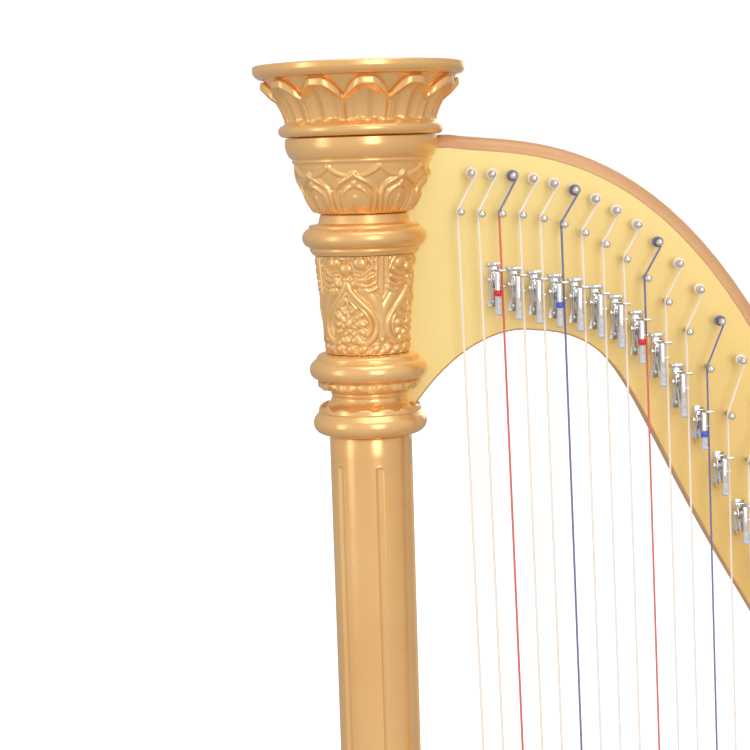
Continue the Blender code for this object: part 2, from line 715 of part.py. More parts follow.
def main():
    clear_scene()
    parts = new_collection("lever_harp")
    cutters = new_collection("cutters")
    gold = make_material("gold_lacquer", GOLD, 0.32, 0.75)
    pale = make_material("pale_gold_lacquer", PALE_GOLD, 0.35, 0.30)
    wood = make_material("spruce", (0.80, 0.62, 0.38), 0.45, 0.0)
    steel = make_material("steel", (0.70, 0.70, 0.72), 0.30, 1.0)
    chrome = make_material("chrome", (0.85, 0.85, 0.87), 0.12, 1.0)
    nylon = make_material("nylon", (0.92, 0.88, 0.84), 0.35, 0.0)
    rubber = make_material("rubber", (0.03, 0.03, 0.03), 0.70, 0.0)
    build_pillar(parts, gold, wood, steel)
    build_neck(parts, cutters, pale)
    build_levers(parts, chrome)
    build_strings(parts, cutters, nylon)
    build_soundbox(parts, cutters, gold, wood)
    build_base(parts, cutters, gold, rubber)
    centre_on_origin()


main()
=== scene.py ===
"""Looks of the lever harp: carved gold pillar, lacquered neck, pins, levers, strings and box.

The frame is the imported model. Shapes are worked out from the pillar's axis, turned ones in
millimetres and the rest in metres, and placed by add_piece. Angles round the pillar start
on the lever side (-Y) and grow towards +X.
"""

import json
import math

import bmesh
import bpy
import numpy as np
from mathutils import Matrix, Vector


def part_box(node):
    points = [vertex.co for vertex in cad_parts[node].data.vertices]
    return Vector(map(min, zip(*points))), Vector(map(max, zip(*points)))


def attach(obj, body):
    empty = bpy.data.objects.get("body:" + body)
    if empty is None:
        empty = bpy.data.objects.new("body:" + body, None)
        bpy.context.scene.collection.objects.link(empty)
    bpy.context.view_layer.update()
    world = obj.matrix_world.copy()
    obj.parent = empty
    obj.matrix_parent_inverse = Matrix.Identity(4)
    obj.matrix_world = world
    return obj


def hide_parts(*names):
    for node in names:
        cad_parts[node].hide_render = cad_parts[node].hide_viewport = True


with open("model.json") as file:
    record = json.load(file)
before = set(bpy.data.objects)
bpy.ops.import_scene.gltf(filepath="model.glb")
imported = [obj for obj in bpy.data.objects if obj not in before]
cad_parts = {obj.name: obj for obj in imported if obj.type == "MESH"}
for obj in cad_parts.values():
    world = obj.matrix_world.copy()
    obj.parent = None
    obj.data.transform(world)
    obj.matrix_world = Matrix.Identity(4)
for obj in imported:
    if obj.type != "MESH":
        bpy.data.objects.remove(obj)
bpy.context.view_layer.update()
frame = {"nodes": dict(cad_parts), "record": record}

MM = 0.001
SHAFT_LOW, SHAFT_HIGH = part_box("pillar_shaft")
PILLAR_X = (SHAFT_LOW.x + SHAFT_HIGH.x) / 2
PILLAR_Y = (SHAFT_LOW.y + SHAFT_HIGH.y) / 2
ROOT = "harp"

# ---- the design's lines, in metres, x from the pillar's axis ---------------------------
STRING_COUNT = 36
FIRST_PIN_X = 0.0682
PIN_SPACING = 0.01437
BASS_LEAN = math.radians(1.3)
TREBLE_LEAN = math.radians(0.5)
BASS_STRING_RADIUS = 0.00085
TREBLE_STRING_RADIUS = 0.00035
STRING_BESIDE_PIN = 0.0024
TUNING_PIN_AHEAD = 0.0079
NECK_FACE_Y = 0.016
NECK_BACK_Y = 0.052
BRIDGE_LINE = [
    ((0.072, 1.455), (0.077, 1.446), (0.188, 1.485), (0.255, 1.306)),
    ((0.255, 1.306), (0.302, 1.195), (0.375, 1.012), (0.540, 1.012)),
    ((0.540, 1.012), (0.555, 1.012), (0.565, 1.014), (0.585, 1.018)),
]
TUNING_LINE = [
    ((0.075, 1.482), (0.096, 1.478), (0.196, 1.489), (0.262, 1.347)),
    ((0.262, 1.347), (0.315, 1.233), (0.390, 1.040), (0.545, 1.040)),
    ((0.545, 1.040), (0.560, 1.040), (0.570, 1.042), (0.600, 1.048)),
]
NECK_OUTLINE = [
    ((0.000, 1.5092), (0.000, 1.45), (0.02, 1.5092)),
    ((0.062, 1.5092), (0.040, 1.5092), (0.105, 1.501)),
    ((0.273, 1.383), (0.191, 1.515), (0.330, 1.290)),
    ((0.545, 1.067), (0.400, 1.067), (0.580, 1.067)),
    ((0.692, 0.995), (0.690, 1.050), (0.694, 0.960)),
    ((0.6675, 0.9410), (0.6850, 0.9350), (0.650, 0.9520)),
    ((0.5970, 0.9842), (0.615, 0.9732), (0.575, 0.972)),
    ((0.500, 0.964), (0.540, 0.962), (0.400, 0.969)),
    ((0.270, 1.164), (0.315, 1.081), (0.184, 1.309)),
    ((0.118, 1.369), (0.190, 1.366), (0.103, 1.372)),
    ((0.030, 1.314), (0.066, 1.367), (0.020, 1.302)),
    ((0.000, 1.300), (0.010, 1.300), (0.000, 1.35)),
]
BOARD_ANGLE = math.radians(58.5)
BOARD_ORIGIN = Vector((0.098, 0.0, 0.170))
ALONG = Vector((math.cos(BOARD_ANGLE), 0.0, math.sin(BOARD_ANGLE)))
INWARD = Vector((math.sin(BOARD_ANGLE), 0.0, -math.cos(BOARD_ANGLE)))
BOX_LOW, BOX_HIGH = -0.090, 0.940
BOX_WIDTH_LOW, BOX_WIDTH_HIGH = 0.372, 0.112
BOX_DEPTH_LOW, BOX_DEPTH_HIGH = 0.245, 0.076
PORTS = ((0.180, 0.050, 0.038), (0.370, 0.046, 0.035), (0.550, 0.042, 0.031),
         (0.720, 0.036, 0.026))


# ---- colour and materials --------------------------------------------------------------
WHITE = (1.0, 1.0, 1.0, 1.0)


def linear(red, green, blue):
    """A colour given as 0 to 255 sRGB values, as the shader wants it."""
    def channel(value):
        value /= 255
        return value / 12.92 if value <= 0.04045 else ((value + 0.055) / 1.055) ** 2.4
    return (channel(red), channel(green), channel(blue), 1.0)


def feed(tree, socket, value):
    """Give an input a value, or join it to an output."""
    if isinstance(value, bpy.types.NodeSocket):
        tree.links.new(value, socket)
    else:
        socket.default_value = value


def fill(tree, node, inputs):
    """Feed a node's inputs by name; an underscore stands for a space."""
    for name, value in inputs.items():
        feed(tree, node.inputs[name.replace("_", " ")], value)


def add_node(tree, kind, **inputs):
    node = tree.nodes.new("ShaderNode" + kind)
    fill(tree, node, inputs)
    return node


class Material:
    """A Principled material whose nodes are added one after another."""

    def __init__(self, name, roughness, metallic=0.0, **values):
        self.material = bpy.data.materials.new(name)
        self.material.use_nodes = True
        self.tree = self.material.node_tree
        self.shader(Roughness=roughness, Metallic=metallic, **values)
        self.place = add_node(self.tree, "TexCoord").outputs["Object"]

    def shader(self, **inputs):
        fill(self.tree, self.tree.nodes["Principled BSDF"], inputs)

    def noise(self, scale, detail=3.0, **mapped):
        mapping = add_node(self.tree, "Mapping", Vector=self.place, **mapped)
        return add_node(self.tree, "TexNoise", Vector=mapping.outputs["Vector"], Scale=scale,
                        Detail=detail).outputs["Fac"]

    def attribute(self, name):
        node = add_node(self.tree, "Attribute")
        node.attribute_name = name
        return node.outputs["Fac"]

    def axis(self, name):
        return add_node(self.tree, "SeparateXYZ", Vector=self.place).outputs[name]

    def remap(self, value, low, high, new_low=0.0, new_high=1.0):
        return add_node(self.tree, "MapRange", Value=value, From_Min=low, From_Max=high,
                        To_Min=new_low, To_Max=new_high).outputs["Result"]

    def mix(self, factor, first, second):
        node = add_node(self.tree, "Mix")
        node.data_type = "RGBA"
        for number, value in ((0, factor), (6, first), (7, second)):
            feed(self.tree, node.inputs[number], value)
        return node.outputs[2]

    def bump(self, height, strength, distance):
        node = add_node(self.tree, "Bump", Height=height, Strength=strength, Distance=distance)
        self.shader(Normal=node.outputs["Normal"])

    def flake(self, colour, share, strength):
        """The colour with a fine glitter, which is also a faint bump."""
        flake = self.noise(1800.0, 1.0)
        self.shader(Base_Color=self.mix(self.remap(flake, 0.35, 0.75, 0.0, share), colour, WHITE))
        self.bump(flake, strength, 0.0004)


def gold_lacquer(name, light, dark, roughness=0.30, metallic=0.72, painted_hollow_shade=None):
    """Gold paint: cloudy colour, a fine flake, and painted shade in the hollows of the carving."""
    made = Material(name, roughness, metallic, Coat_Weight=0.25, Coat_Roughness=0.18)
    colour = made.mix(made.remap(made.noise(9.0, 4.0), 0.3, 0.7), dark, light)
    # Painted shade: where the carving is deep, the colour turns to the hollow colour.
    if painted_hollow_shade is not None:
        colour = made.mix(made.remap(made.attribute("relief"), 0.05, 0.75), painted_hollow_shade, colour)
    made.flake(colour, 0.10, 0.06)
    made.shader(Roughness=made.remap(made.noise(60.0, 3.0), 0.3, 0.7, roughness - 0.04,
                                     roughness + 0.05))
    return made.material


def neck_lacquer():
    """Pale gold paint, darker lower down, with painted shade that darkens it further along x."""
    made = Material("pale_gold_lacquer", 0.42, 0.25, Coat_Weight=0.2, Coat_Roughness=0.2)
    deeper_gold = linear(234, 184, 88)
    colour = made.mix(made.remap(made.axis("Z"), 1.50, 1.05), linear(250, 232, 152), deeper_gold)
    # Painted shade: the colour darkens from 6 to 16 cm past the pillar's axis.
    colour = made.mix(made.remap(made.axis("X"), 0.06, 0.16, 0.0, 0.42), colour, deeper_gold)
    cloud = made.remap(made.noise(6.0, 4.0), 0.35, 0.65, 0.0, 0.35)
    made.flake(made.mix(cloud, colour, linear(240, 206, 118)), 0.12, 0.05)
    return made.material


def spruce(name, light, dark, roughness, coat):
    """Close, straight grain that runs along the soundboard's length."""
    made = Material(name, roughness, 0.0, Coat_Weight=coat, Coat_Roughness=0.15)
    grain = made.noise(8.0, 5.0, Rotation=(0.0, BOARD_ANGLE, 0.0), Scale=(1.0, 60.0, 1.0))
    lines = made.mix(made.remap(grain, 0.35, 0.65), dark, light)
    cloud = made.remap(made.noise(5.0), 0.3, 0.7, 0.0, 0.5)
    made.shader(Base_Color=made.mix(cloud, lines, light))
    made.bump(grain, 0.08, 0.0004)
    return made.material


def metal(name, colour, roughness):
    made = Material(name, roughness, 1.0)
    smudge = made.noise(220.0, 3.0)
    dull = [channel * 0.93 for channel in colour[:3]] + [1.0]
    made.shader(Base_Color=made.mix(made.remap(smudge, 0.35, 0.65), dull, colour),
                Roughness=made.remap(smudge, 0.3, 0.7, roughness * 0.7, roughness * 1.4))
    return made.material


def plastic(name, light, dark, roughness, scale=400.0, **values):
    made = Material(name, roughness, 0.0, **values)
    made.shader(Base_Color=made.mix(made.remap(made.noise(scale), 0.35, 0.65), dark, light),
                Roughness=made.remap(made.noise(scale * 2), 0.3, 0.7, roughness - 0.05,
                                     roughness + 0.05))
    return made.material


def string_material(name, light, dark):
    """Twisted or drawn string: a faint fine banding across its length."""
    made = Material(name, 0.38, 0.0, Coat_Weight=0.3, Coat_Roughness=0.2)
    bands = made.noise(500.0, 2.0, Scale=(1.0, 1.0, 4.0))
    made.shader(Base_Color=made.mix(made.remap(bands, 0.35, 0.65), dark, light))
    made.bump(bands, 0.10, 0.0002)
    return made.material


GOLD_LIGHT = linear(250, 202, 130)
GOLD_DARK = linear(242, 186, 112)
# The colour painted into the carving's hollows as shade.
GOLD_PAINTED_HOLLOW_SHADE = linear(236, 194, 130)

gold = gold_lacquer("gold_lacquer", GOLD_LIGHT, GOLD_DARK)
carved_gold = gold_lacquer("carved_gold_lacquer", GOLD_LIGHT, GOLD_DARK, 0.23, 0.64,
                           GOLD_PAINTED_HOLLOW_SHADE)
# A darker copy of the gold lacquer: painted shade for the neck's rounded edges and the sound-hole
# beads.
painted_shade_gold = gold_lacquer("painted_shade_gold_lacquer", linear(214, 162, 108), linear(206, 152, 98),
                         0.50, 0.25)
pale_gold = neck_lacquer()
chrome = metal("chrome", (0.74, 0.74, 0.77, 1.0), 0.12)
brass = metal("brass", (0.83, 0.62, 0.28, 1.0), 0.25)
steel = metal("plated_steel", (0.62, 0.62, 0.64, 1.0), 0.32)
board_wood = spruce("soundboard_lacquer", linear(236, 200, 140), linear(206, 158, 94), 0.35, 0.5)
bare_wood = spruce("bare_spruce", linear(222, 188, 138), linear(190, 148, 98), 0.6, 0.0)
binding = plastic("binding", linear(120, 66, 34), linear(96, 50, 26), 0.35, 90.0)
rubber = plastic("rubber", linear(40, 40, 42), linear(26, 26, 28), 0.75)
clear_string = string_material("clear_string", linear(255, 246, 238), linear(248, 234, 222))
red_string = string_material("red_string", linear(234, 122, 110), linear(220, 98, 90))
blue_string = string_material("blue_string", linear(126, 128, 178), linear(104, 106, 160))
sleeve_grey = plastic("sleeve_grey", linear(226, 227, 231), linear(204, 205, 210), 0.16,
                      Transmission_Weight=0.25, IOR=1.45)
band_red = plastic("band_red", linear(226, 40, 44), linear(196, 26, 32), 0.3)
band_blue = plastic("band_blue", linear(84, 108, 220), linear(56, 76, 186), 0.3)


# ---- meshes and pieces -----------------------------------------------------------------
def loose_object(name, mesh):
    item = bpy.data.objects.new(name, mesh)
    bpy.context.scene.collection.objects.link(item)
    return item


def add_piece(name, mesh, materials, replaced=(), body=ROOT, at=None, sharp=40.0):
    """Put a mesh in place, give it its materials, smooth it, tie it to its body and hide the CAD
    nodes it replaces.
    """
    item = loose_object(name, mesh)
    if not mesh.materials:
        for material in materials:
            mesh.materials.append(material)
        mesh.shade_smooth()
        if sharp:
            mesh.set_sharp_from_angle(angle=math.radians(sharp))
    item.location = Vector((PILLAR_X, 0.0, 0.0)) if at is None else at
    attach(item, body)
    if replaced:
        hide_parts(*replaced)


def finished(work, name):
    bmesh.ops.recalc_face_normals(work, faces=work.faces)
    mesh = bpy.data.meshes.new(name)
    work.to_mesh(mesh)
    work.free()
    return mesh


def cut(item, cutter):
    modifier = item.modifiers.new("cut", "BOOLEAN")
    modifier.operation = "DIFFERENCE"
    modifier.object = cutter
    modifier.solver = "EXACT"


def applied(item, name, *cutters):
    """The item's mesh with its modifiers applied; the item and its own cutters are removed."""
    depsgraph = bpy.context.evaluated_depsgraph_get()
    mesh = bpy.data.meshes.new_from_object(item.evaluated_get(depsgraph))
    mesh.name = name
    for spent in (item, *cutters):
        bpy.data.objects.remove(spent, do_unlink=True)
    return mesh


def turns(count, first=0.0):
    """Cosine and sine of each of count equal steps round a circle."""
    steps = [2 * math.pi * (k + first) / count for k in range(count)]
    return [(math.cos(step), math.sin(step)) for step in steps]


def skin(work, rings, closed=False):
    """Quads from ring to ring; the last meets the first if closed, else both ends are capped."""
    faces = []
    for first, second in zip(rings, rings[1:] + (rings[:1] if closed else [])):
        for k in range(len(first)):
            after = (k + 1) % len(first)
            faces.append(work.faces.new((first[k], first[after], second[after], second[k])))
    if not closed:
        faces += [work.faces.new(rings[0][::-1]), work.faces.new(rings[-1])]
    return faces


def extrude(work, corners, travel):
    """A prism on the corners; its vertices, and those of them that travelled."""
    ring = [work.verts.new(corner) for corner in corners]
    grown = bmesh.ops.extrude_face_region(work, geom=[work.faces.new(ring)])
    moved = [part for part in grown["geom"] if isinstance(part, bmesh.types.BMVert)]
    bmesh.ops.translate(work, verts=moved, vec=travel)
    return ring + moved, moved


def bevel_edges(work, edges, offset, segments):
    bmesh.ops.bevel(work, geom=edges, offset=offset, segments=segments, affect="EDGES",
                    profile=0.5)


def bevel_round(work, verts, offset):
    """Break every edge that meets the vertices."""
    edges = dict.fromkeys(edge for vert in verts for edge in vert.link_edges)
    bevel_edges(work, list(edges), offset, 2)


def box_into(work, low, high, bevel=0.0):
    low, high = Vector(low), Vector(high)
    matrix = Matrix.Translation((low + high) / 2) @ Matrix.Diagonal((*(high - low), 1.0))
    made = bmesh.ops.create_cube(work, size=1.0, matrix=matrix)
    if bevel:
        bevel_round(work, made["verts"], bevel)


# ---- turned and carved work, in millimetres --------------------------------------------
def arc_points(start, end, bulge, step):
    """Points from start up to, not including, end; bulge is the arc's rise outwards."""
    start, end = np.array(start, float), np.array(end, float)
    chord = end - start
    length = float(np.hypot(*chord))
    if abs(bulge) < 1e-6:
        count = max(1, math.ceil(length / step))
        return [start + chord * k / count for k in range(count)]
    along = chord / length
    outward = np.array([-along[1], along[0]])
    sign = math.copysign(1.0, bulge)
    radius = (length ** 2 / 4 + bulge ** 2) / (2 * bulge)
    half = sign * math.atan2(length / 2, sign * (radius - bulge))
    count = max(2, math.ceil(abs(2 * half * radius) / step))
    centre = (start + end) / 2 + outward * (bulge - radius)
    return [centre + radius * (math.cos(a) * outward + math.sin(a) * along)
            for a in (-half + 2 * half * k / count for k in range(count))]


def profile(points, step=0.6):
    """A dense (radius, height) outline from corners, each with an optional bulge to the next."""
    out = []
    for here, there in zip(points, points[1:]):
        out += arc_points(here[:2], there[:2], here[2] if len(here) > 2 else 0.0, step)
    out.append(np.array(points[-1][:2], float))
    return np.array(out)


def spun(outline, columns):
    """Grids of radius and height, with the outline down each column."""
    return [np.repeat(outline[:, k:k + 1], columns, axis=1) for k in (0, 1)]


def round_angles(columns):
    return np.linspace(0, 2 * math.pi, columns, endpoint=False)


def grid_mesh(name, radius, height, relief):
    """A closed turned body from a grid of radii and heights: rows down, columns round."""
    rows, columns = radius.shape
    angle = round_angles(columns)
    verts = np.stack([radius * np.sin(angle) * MM, -radius * np.cos(angle) * MM + PILLAR_Y,
                      height * MM], axis=-1)
    index = np.arange(rows * columns).reshape(rows, columns)
    right = np.roll(index, -1, axis=1)
    quads = np.stack([index[:-1], index[1:], right[1:], right[:-1]], axis=-1).reshape(-1, 4)
    faces = quads.tolist() + [index[0].tolist(), index[-1][::-1].tolist()]
    mesh = bpy.data.meshes.new(name)
    mesh.from_pydata(verts.reshape(-1, 3).tolist(), [], faces)
    # The relief attribute holds painted shade: 1 on open surfaces, lower in the carving's hollows.
    layer = mesh.attributes.new("relief", "FLOAT", "POINT")
    layer.data.foreach_set("value", relief.reshape(-1).astype(np.float32))
    work = bmesh.new()
    work.from_mesh(mesh)
    bmesh.ops.recalc_face_normals(work, faces=work.faces)
    work.to_mesh(mesh)
    work.free()
    return mesh


def turned(name, replaced, points, columns, step, carve=None, material=None, full_depth=1.5):
    """A turned piece; carve(angle, radius, height) gives the relief in millimetres."""
    outline = profile(points, step)
    radius, height = spun(outline, columns)
    shade = np.ones_like(radius)
    if carve is not None:
        relief = carve(np.broadcast_to(round_angles(columns), radius.shape), radius, height)
        slope = np.gradient(outline, axis=0)
        slope /= np.maximum(np.hypot(slope[:, 0], slope[:, 1]), 1e-9)[:, None]
        radius = radius - relief * slope[:, 1:]
        height = height + relief * slope[:, :1]
        # Painted shade: the deeper the carving, the lower the value.
        shade = np.clip(1 + relief / full_depth, 0, 1)
    mesh = grid_mesh(name, radius, height, shade)
    add_piece(name, mesh, [material or gold], (replaced,))


def spline(points, per_span=8):
    """A smooth curve through the points."""
    inner = np.array(points, float)
    p = np.vstack([2 * inner[0] - inner[1], inner, 2 * inner[-1] - inner[-2]])
    out = []
    for i in range(1, len(p) - 2):
        a, b, c, d = p[i - 1:i + 3]
        for t in np.linspace(0, 1, per_span, endpoint=False):
            out.append(0.5 * (2 * b + (c - a) * t + (2 * a - 5 * b + 4 * c - d) * t ** 2
                              + (3 * b - a - 3 * c + d) * t ** 3))
    out.append(inner[-1])
    return np.array(out)


def distance_to(path, x, y):
    best = np.full(x.shape, 1e9)
    for (x0, y0), (x1, y1) in zip(path[:-1], path[1:]):
        dx, dy = x1 - x0, y1 - y0
        t = np.clip(((x - x0) * dx + (y - y0) * dy) / (dx * dx + dy * dy + 1e-12), 0, 1)
        best = np.minimum(best, np.hypot(x - x0 - t * dx, y - y0 - t * dy))
    return best


def ridge(points, x, y, width, height):
    """A half-round ridge along a smooth curve."""
    across = distance_to(spline(points), x, y) / width
    return height * np.sqrt(np.clip(1 - across ** 2, 0, 1))


def bump(x, y, place, size, height, turn=0.0):
    """A rounded boss or petal."""
    c, s = math.cos(turn), math.sin(turn)
    u = ((x - place[0]) * c + (y - place[1]) * s) / size[0]
    v = (-(x - place[0]) * s + (y - place[1]) * c) / size[1]
    return height * np.sqrt(np.clip(1 - u ** 2 - v ** 2, 0, 1))


def inside(points, x, y):
    """1 within a closed outline, 0 outside it."""
    path = np.vstack([points, points[:1]])
    hit = np.zeros(x.shape, bool)
    for (x0, y0), (x1, y1) in zip(path[:-1], path[1:]):
        if y0 == y1:
            continue
        crosses = (y0 > y) != (y1 > y)
        hit ^= crosses & (x < x0 + (y - y0) * (x1 - x0) / (y1 - y0))
    return hit.astype(float)


def softened(relief):
    """Blur across the grid, round the pillar and along it."""
    relief = (np.roll(relief, 1, 1) + 2 * relief + np.roll(relief, -1, 1)) / 4
    middle = (relief[:-2] + 2 * relief[1:-1] + relief[2:]) / 4
    return np.vstack([relief[:1], middle, relief[-1:]])


def smooth_step(value, low, high):
    t = np.clip((value - low) / (high - low), 0, 1)
    return t * t * (3 - 2 * t)


def between(value, low, full_low, full_high, high):
    """1 from full_low to full_high, fading to 0 at low and at high."""
    return smooth_step(value, low, full_low) * smooth_step(value, high, full_high)


def sector(angle, count, first_degrees):
    """Angle from the nearest of count motifs, the first of which stands at first_degrees."""
    width = 2 * math.pi / count
    first = math.radians(first_degrees)
    return (angle - first + width / 2) % width - width / 2


# ---- capital: crown of curled leaves ---------------------------------------------------
LEAF_COUNT = 12
COLUMNS_PER_LEAF = 48
LEAF_FOOT_Z = 1519.7
LEAF_TOP_Z = 1549.0
LEAF_SIDE_DROP = 11.5
COVE_TOP = (68.4, 1550.4)
LIP_HEIGHT = 5.6


def leaf_body_radius(z):
    t = (z - LEAF_FOOT_Z) / (LEAF_TOP_Z - LEAF_FOOT_Z)
    return 53.6 + 5.5 * t + 14.0 * t * t


def crown_column(side):
    """Radii, heights and shade of one line down the leaves; side is -1 to 1 over a leaf."""
    across = abs(side)
    lip_z = LEAF_TOP_Z - LEAF_SIDE_DROP * (max(0.0, across - 0.2) / 0.8) ** 1.6
    height = LIP_HEIGHT * (1 - 0.25 * smooth_step(across, 0.6, 1.0))
    thick = 4.2 * (1 - 0.35 * smooth_step(across, 0.6, 1.0))
    low = lip_z - height
    front_r = leaf_body_radius(low - 0.6) + 3.4 * (1 - 0.55 * smooth_step(across, 0.75, 1.0))
    back_r = front_r - thick
    corners = [COVE_TOP, (back_r - 0.3, lip_z - 1.6), (back_r + 0.4, lip_z - 0.3),
               (front_r - 1.0, lip_z), (front_r - 0.2, lip_z - 0.9),
               (front_r + 0.1, low + 1.0), (front_r - 0.4, low),
               (leaf_body_radius(low - 0.8), low - 0.8)]
    sizes = (12, 3, 5, 3, 8, 3, 4)
    top = []
    for (start, end), count in zip(zip(corners, corners[1:]), sizes):
        for k in range(count):
            t = k / count
            top.append((start[0] + (end[0] - start[0]) * t, start[1] + (end[1] - start[1]) * t))
    # Painted shade in the cove under the rim, darker further in.
    shade = list(np.linspace(0.9, 0.55, 15)) + [1.0] * (len(top) - 15)
    scoop = math.sin(math.pi * min(across / 0.80, 1.0)) ** 1.2
    border = between(across, 0.80, 0.85, 0.92, 0.96)
    seam = smooth_step(across, 0.94, 1.0)
    low -= 0.8
    body = []
    for t in np.linspace(0, 1, 34):
        z = low + (LEAF_FOOT_Z - low) * t
        foot = smooth_step(t, 1.0, 0.90)
        under = smooth_step(t, 0.0, 0.12)
        hollow = foot * (under * (3.3 * scoop * (1 - 0.25 * t) + 1.2 * (1 - border)
                                  * smooth_step(across, 0.72, 0.8)) + 1.1 * seam)
        body.append((leaf_body_radius(z) - hollow, z))
        # Painted shade in the leaves' scoops, along their seams and under the lips.
        shade.append(1 - foot * (0.35 * under * scoop + 0.6 * seam)
                     - 0.25 * smooth_step(t, 0.25, 0.05) * scoop)
    return top + body, shade


def build_crown():
    rim = profile([(70.0, 1559.7), (73.6, 1559.8, 0.5), (75.0, 1558.6), (75.2, 1556.0, 1.1),
                   (70.0, 1550.6), COVE_TOP], 0.8)[:-1]
    ring = profile([(53.8, 1519.6), (54.6, 1518.9), (55.2, 1518.5, 3.7), (54.2, 1510.2),
                    (53.0, 1509.9)], 0.6)
    columns = LEAF_COUNT * COLUMNS_PER_LEAF
    side = sector(round_angles(columns), LEAF_COUNT, 5.0) / (math.pi / LEAF_COUNT)
    radius, height, shade = [], [], []
    for value in side:
        middle, painted_leaf_shade = crown_column(float(value))
        line = np.vstack([rim, middle, ring])
        radius.append(line[:, 0])
        height.append(line[:, 1])
        shade.append([1.0] * len(rim) + painted_leaf_shade + [1.0] * len(ring))
    radius, height, shade = (np.array(grid).T for grid in (radius, height, shade))
    leaves = slice(len(rim), len(rim) + len(middle))
    radius[leaves] = softened(radius[leaves])
    height[leaves] = softened(height[leaves])
    mesh = grid_mesh("crown_carving", radius, height, shade)
    add_piece("crown_carving", mesh, [carved_gold], ("crown",))


# ---- capital: lotus bowl ---------------------------------------------------------------
BOWL = [(53.0, 1509.4), (53.8, 1508.8), (53.9, 1507.6, 1.3), (50.8, 1495.6), (49.6, 1494.9),
        (49.2, 1494.3, 0.5), (48.9, 1491.9), (48.2, 1491.2, 0.9), (42.0, 1473.6, 1.2),
        (34.0, 1458.2), (33.4, 1457.0), (31.5, 1456.2)]
BOWL_LEAF_FOOT_Z = 1457.6
LOTUS_COUNT = 8
LOTUS_FIRST = -7.0          # degrees, also the place of the panels on the foot
LOTUS_HALF_WIDTH = 16.4
LOTUS_OUTER = [(0.0, 29.4), (1.6, 27.4), (5.0, 25.2), (9.6, 22.4), (13.0, 18.4), (14.4, 13.0),
               (14.2, 6.5), (13.4, 0.0)]
LOTUS_INNER = [(0.0, 22.6), (1.2, 20.2), (4.4, 18.2), (7.8, 15.4), (9.6, 11.4), (9.8, 6.0),
               (9.2, 0.0)]
LOTUS_BEHIND = [(16.4, 38.0), (15.2, 34.0), (12.2, 31.0), (8.4, 28.6), (5.0, 27.6)]


def lotus_sector(angle):
    return sector(angle, LOTUS_COUNT, LOTUS_FIRST)


def lotus(angle, up):
    """Relief of a row of lotus leaves; up runs from the leaves' feet in millimetres."""
    x = np.abs(lotus_sector(angle)) / (math.pi / LOTUS_COUNT) * LOTUS_HALF_WIDTH
    outer = spline(LOTUS_OUTER)
    leaf = inside(np.vstack([outer, [[0.0, 0.0]]]), x, up)
    behind = ridge(LOTUS_BEHIND, x, up, 1.7, 1.6) * (1 - leaf)
    dome = leaf * (0.55 + 0.5 * np.clip(1 - x / 16.0, 0, 1))
    groove = -1.0 * np.exp(-(distance_to(outer, x, up) / 1.0) ** 2) * (1 - leaf)
    strokes = ridge(LOTUS_OUTER, x, up, 1.9, 2.2)
    inner = ridge(LOTUS_INNER, x, up, 1.5, 1.3) * leaf
    stem = ridge([(1.1, 0.0), (1.0, 8.0), (0.2, 12.0)], x, up, 1.0, 1.0) * leaf
    ground = -0.7 + dome + groove
    return np.maximum(ground + inner + stem, np.maximum(strokes, behind) - 0.2)


def carve_bowl(angle, radius, height):
    leaves = lotus(angle, (height - BOWL_LEAF_FOOT_Z) * 1.10)
    return softened(leaves * between(height, 1457.2, 1458.4, 1490.4, 1491.2))


# ---- carved drum -----------------------------------------------------------------------
DRUM_LOW, DRUM_HIGH = 1357.7, 1426.9
DRUM = [(35.2, DRUM_HIGH), (35.5, 1426.4), (30.0, 1358.2), (29.6, DRUM_LOW)]
DRUM_MOTIFS = 4
DRUM_FIRST = -24.0          # degrees
BORDER_LEAVES, BORDER_RADIUS = 20, 31.0
MOTIF_HALF_WIDTH = 25.7
LOOP_OUTER = [(0.3, 50.5), (2.6, 45.5), (7.0, 40.0), (12.6, 34.5), (18.0, 28.8), (21.2, 23.0),
              (21.2, 16.6), (18.0, 11.2), (13.0, 8.2), (8.8, 8.6)]
LOOP_INNER = [(0.3, 43.5), (4.4, 38.6), (9.6, 33.0), (14.4, 27.4), (17.0, 21.8), (16.6, 16.8),
              (14.4, 13.6)]
FAN_RIBS = [[(6.8, 56.4), (11.5, 56.0), (17.2, 60.2)], [(7.4, 53.2), (12.6, 52.4), (19.4, 55.2)],
            [(10.0, 49.2), (15.0, 48.4), (20.8, 51.0)], [(13.4, 45.4), (17.0, 45.0), (21.6, 47.2)]]
FORK = [(0.0, 14.0), (0.0, 22.0), (0.6, 29.0), (4.0, 35.4), (9.0, 41.8), (13.4, 45.6)]
LANCE_EDGE = [(0.0, 38.6), (3.0, 43.4), (4.4, 50.0), (4.2, 58.0), (3.6, 64.0), (3.8, 70.0)]
PETALS = [((8.2, 27.2), (4.8, 2.5), 0.55), ((9.2, 21.6), (5.0, 2.7), -0.05),
          ((10.4, 16.0), (4.2, 2.2), -0.45), ((5.2, 10.4), (5.2, 3.0), 0.15),
          ((3.6, 31.0), (3.8, 1.9), 0.95), ((3.6, 14.8), (2.7, 2.0), -0.6)]
INNER_PETALS = 6


def flower(x, y):
    """A boss in a ring of petals, mirrored left and right."""
    out = bump(x, y, (0.0, 21.8), (3.1, 3.1), 2.9)
    for place, size, turn in PETALS:
        out = np.maximum(out, bump(np.abs(x), y, place, size, 2.1, turn))
    for k in range(INNER_PETALS):
        turn = 2 * math.pi * (k + 0.5) / INNER_PETALS
        place = (4.9 * math.cos(turn), 21.8 + 4.7 * math.sin(turn))
        out = np.maximum(out, bump(x, y, place, (2.3, 1.5), 1.5, turn))
    return out


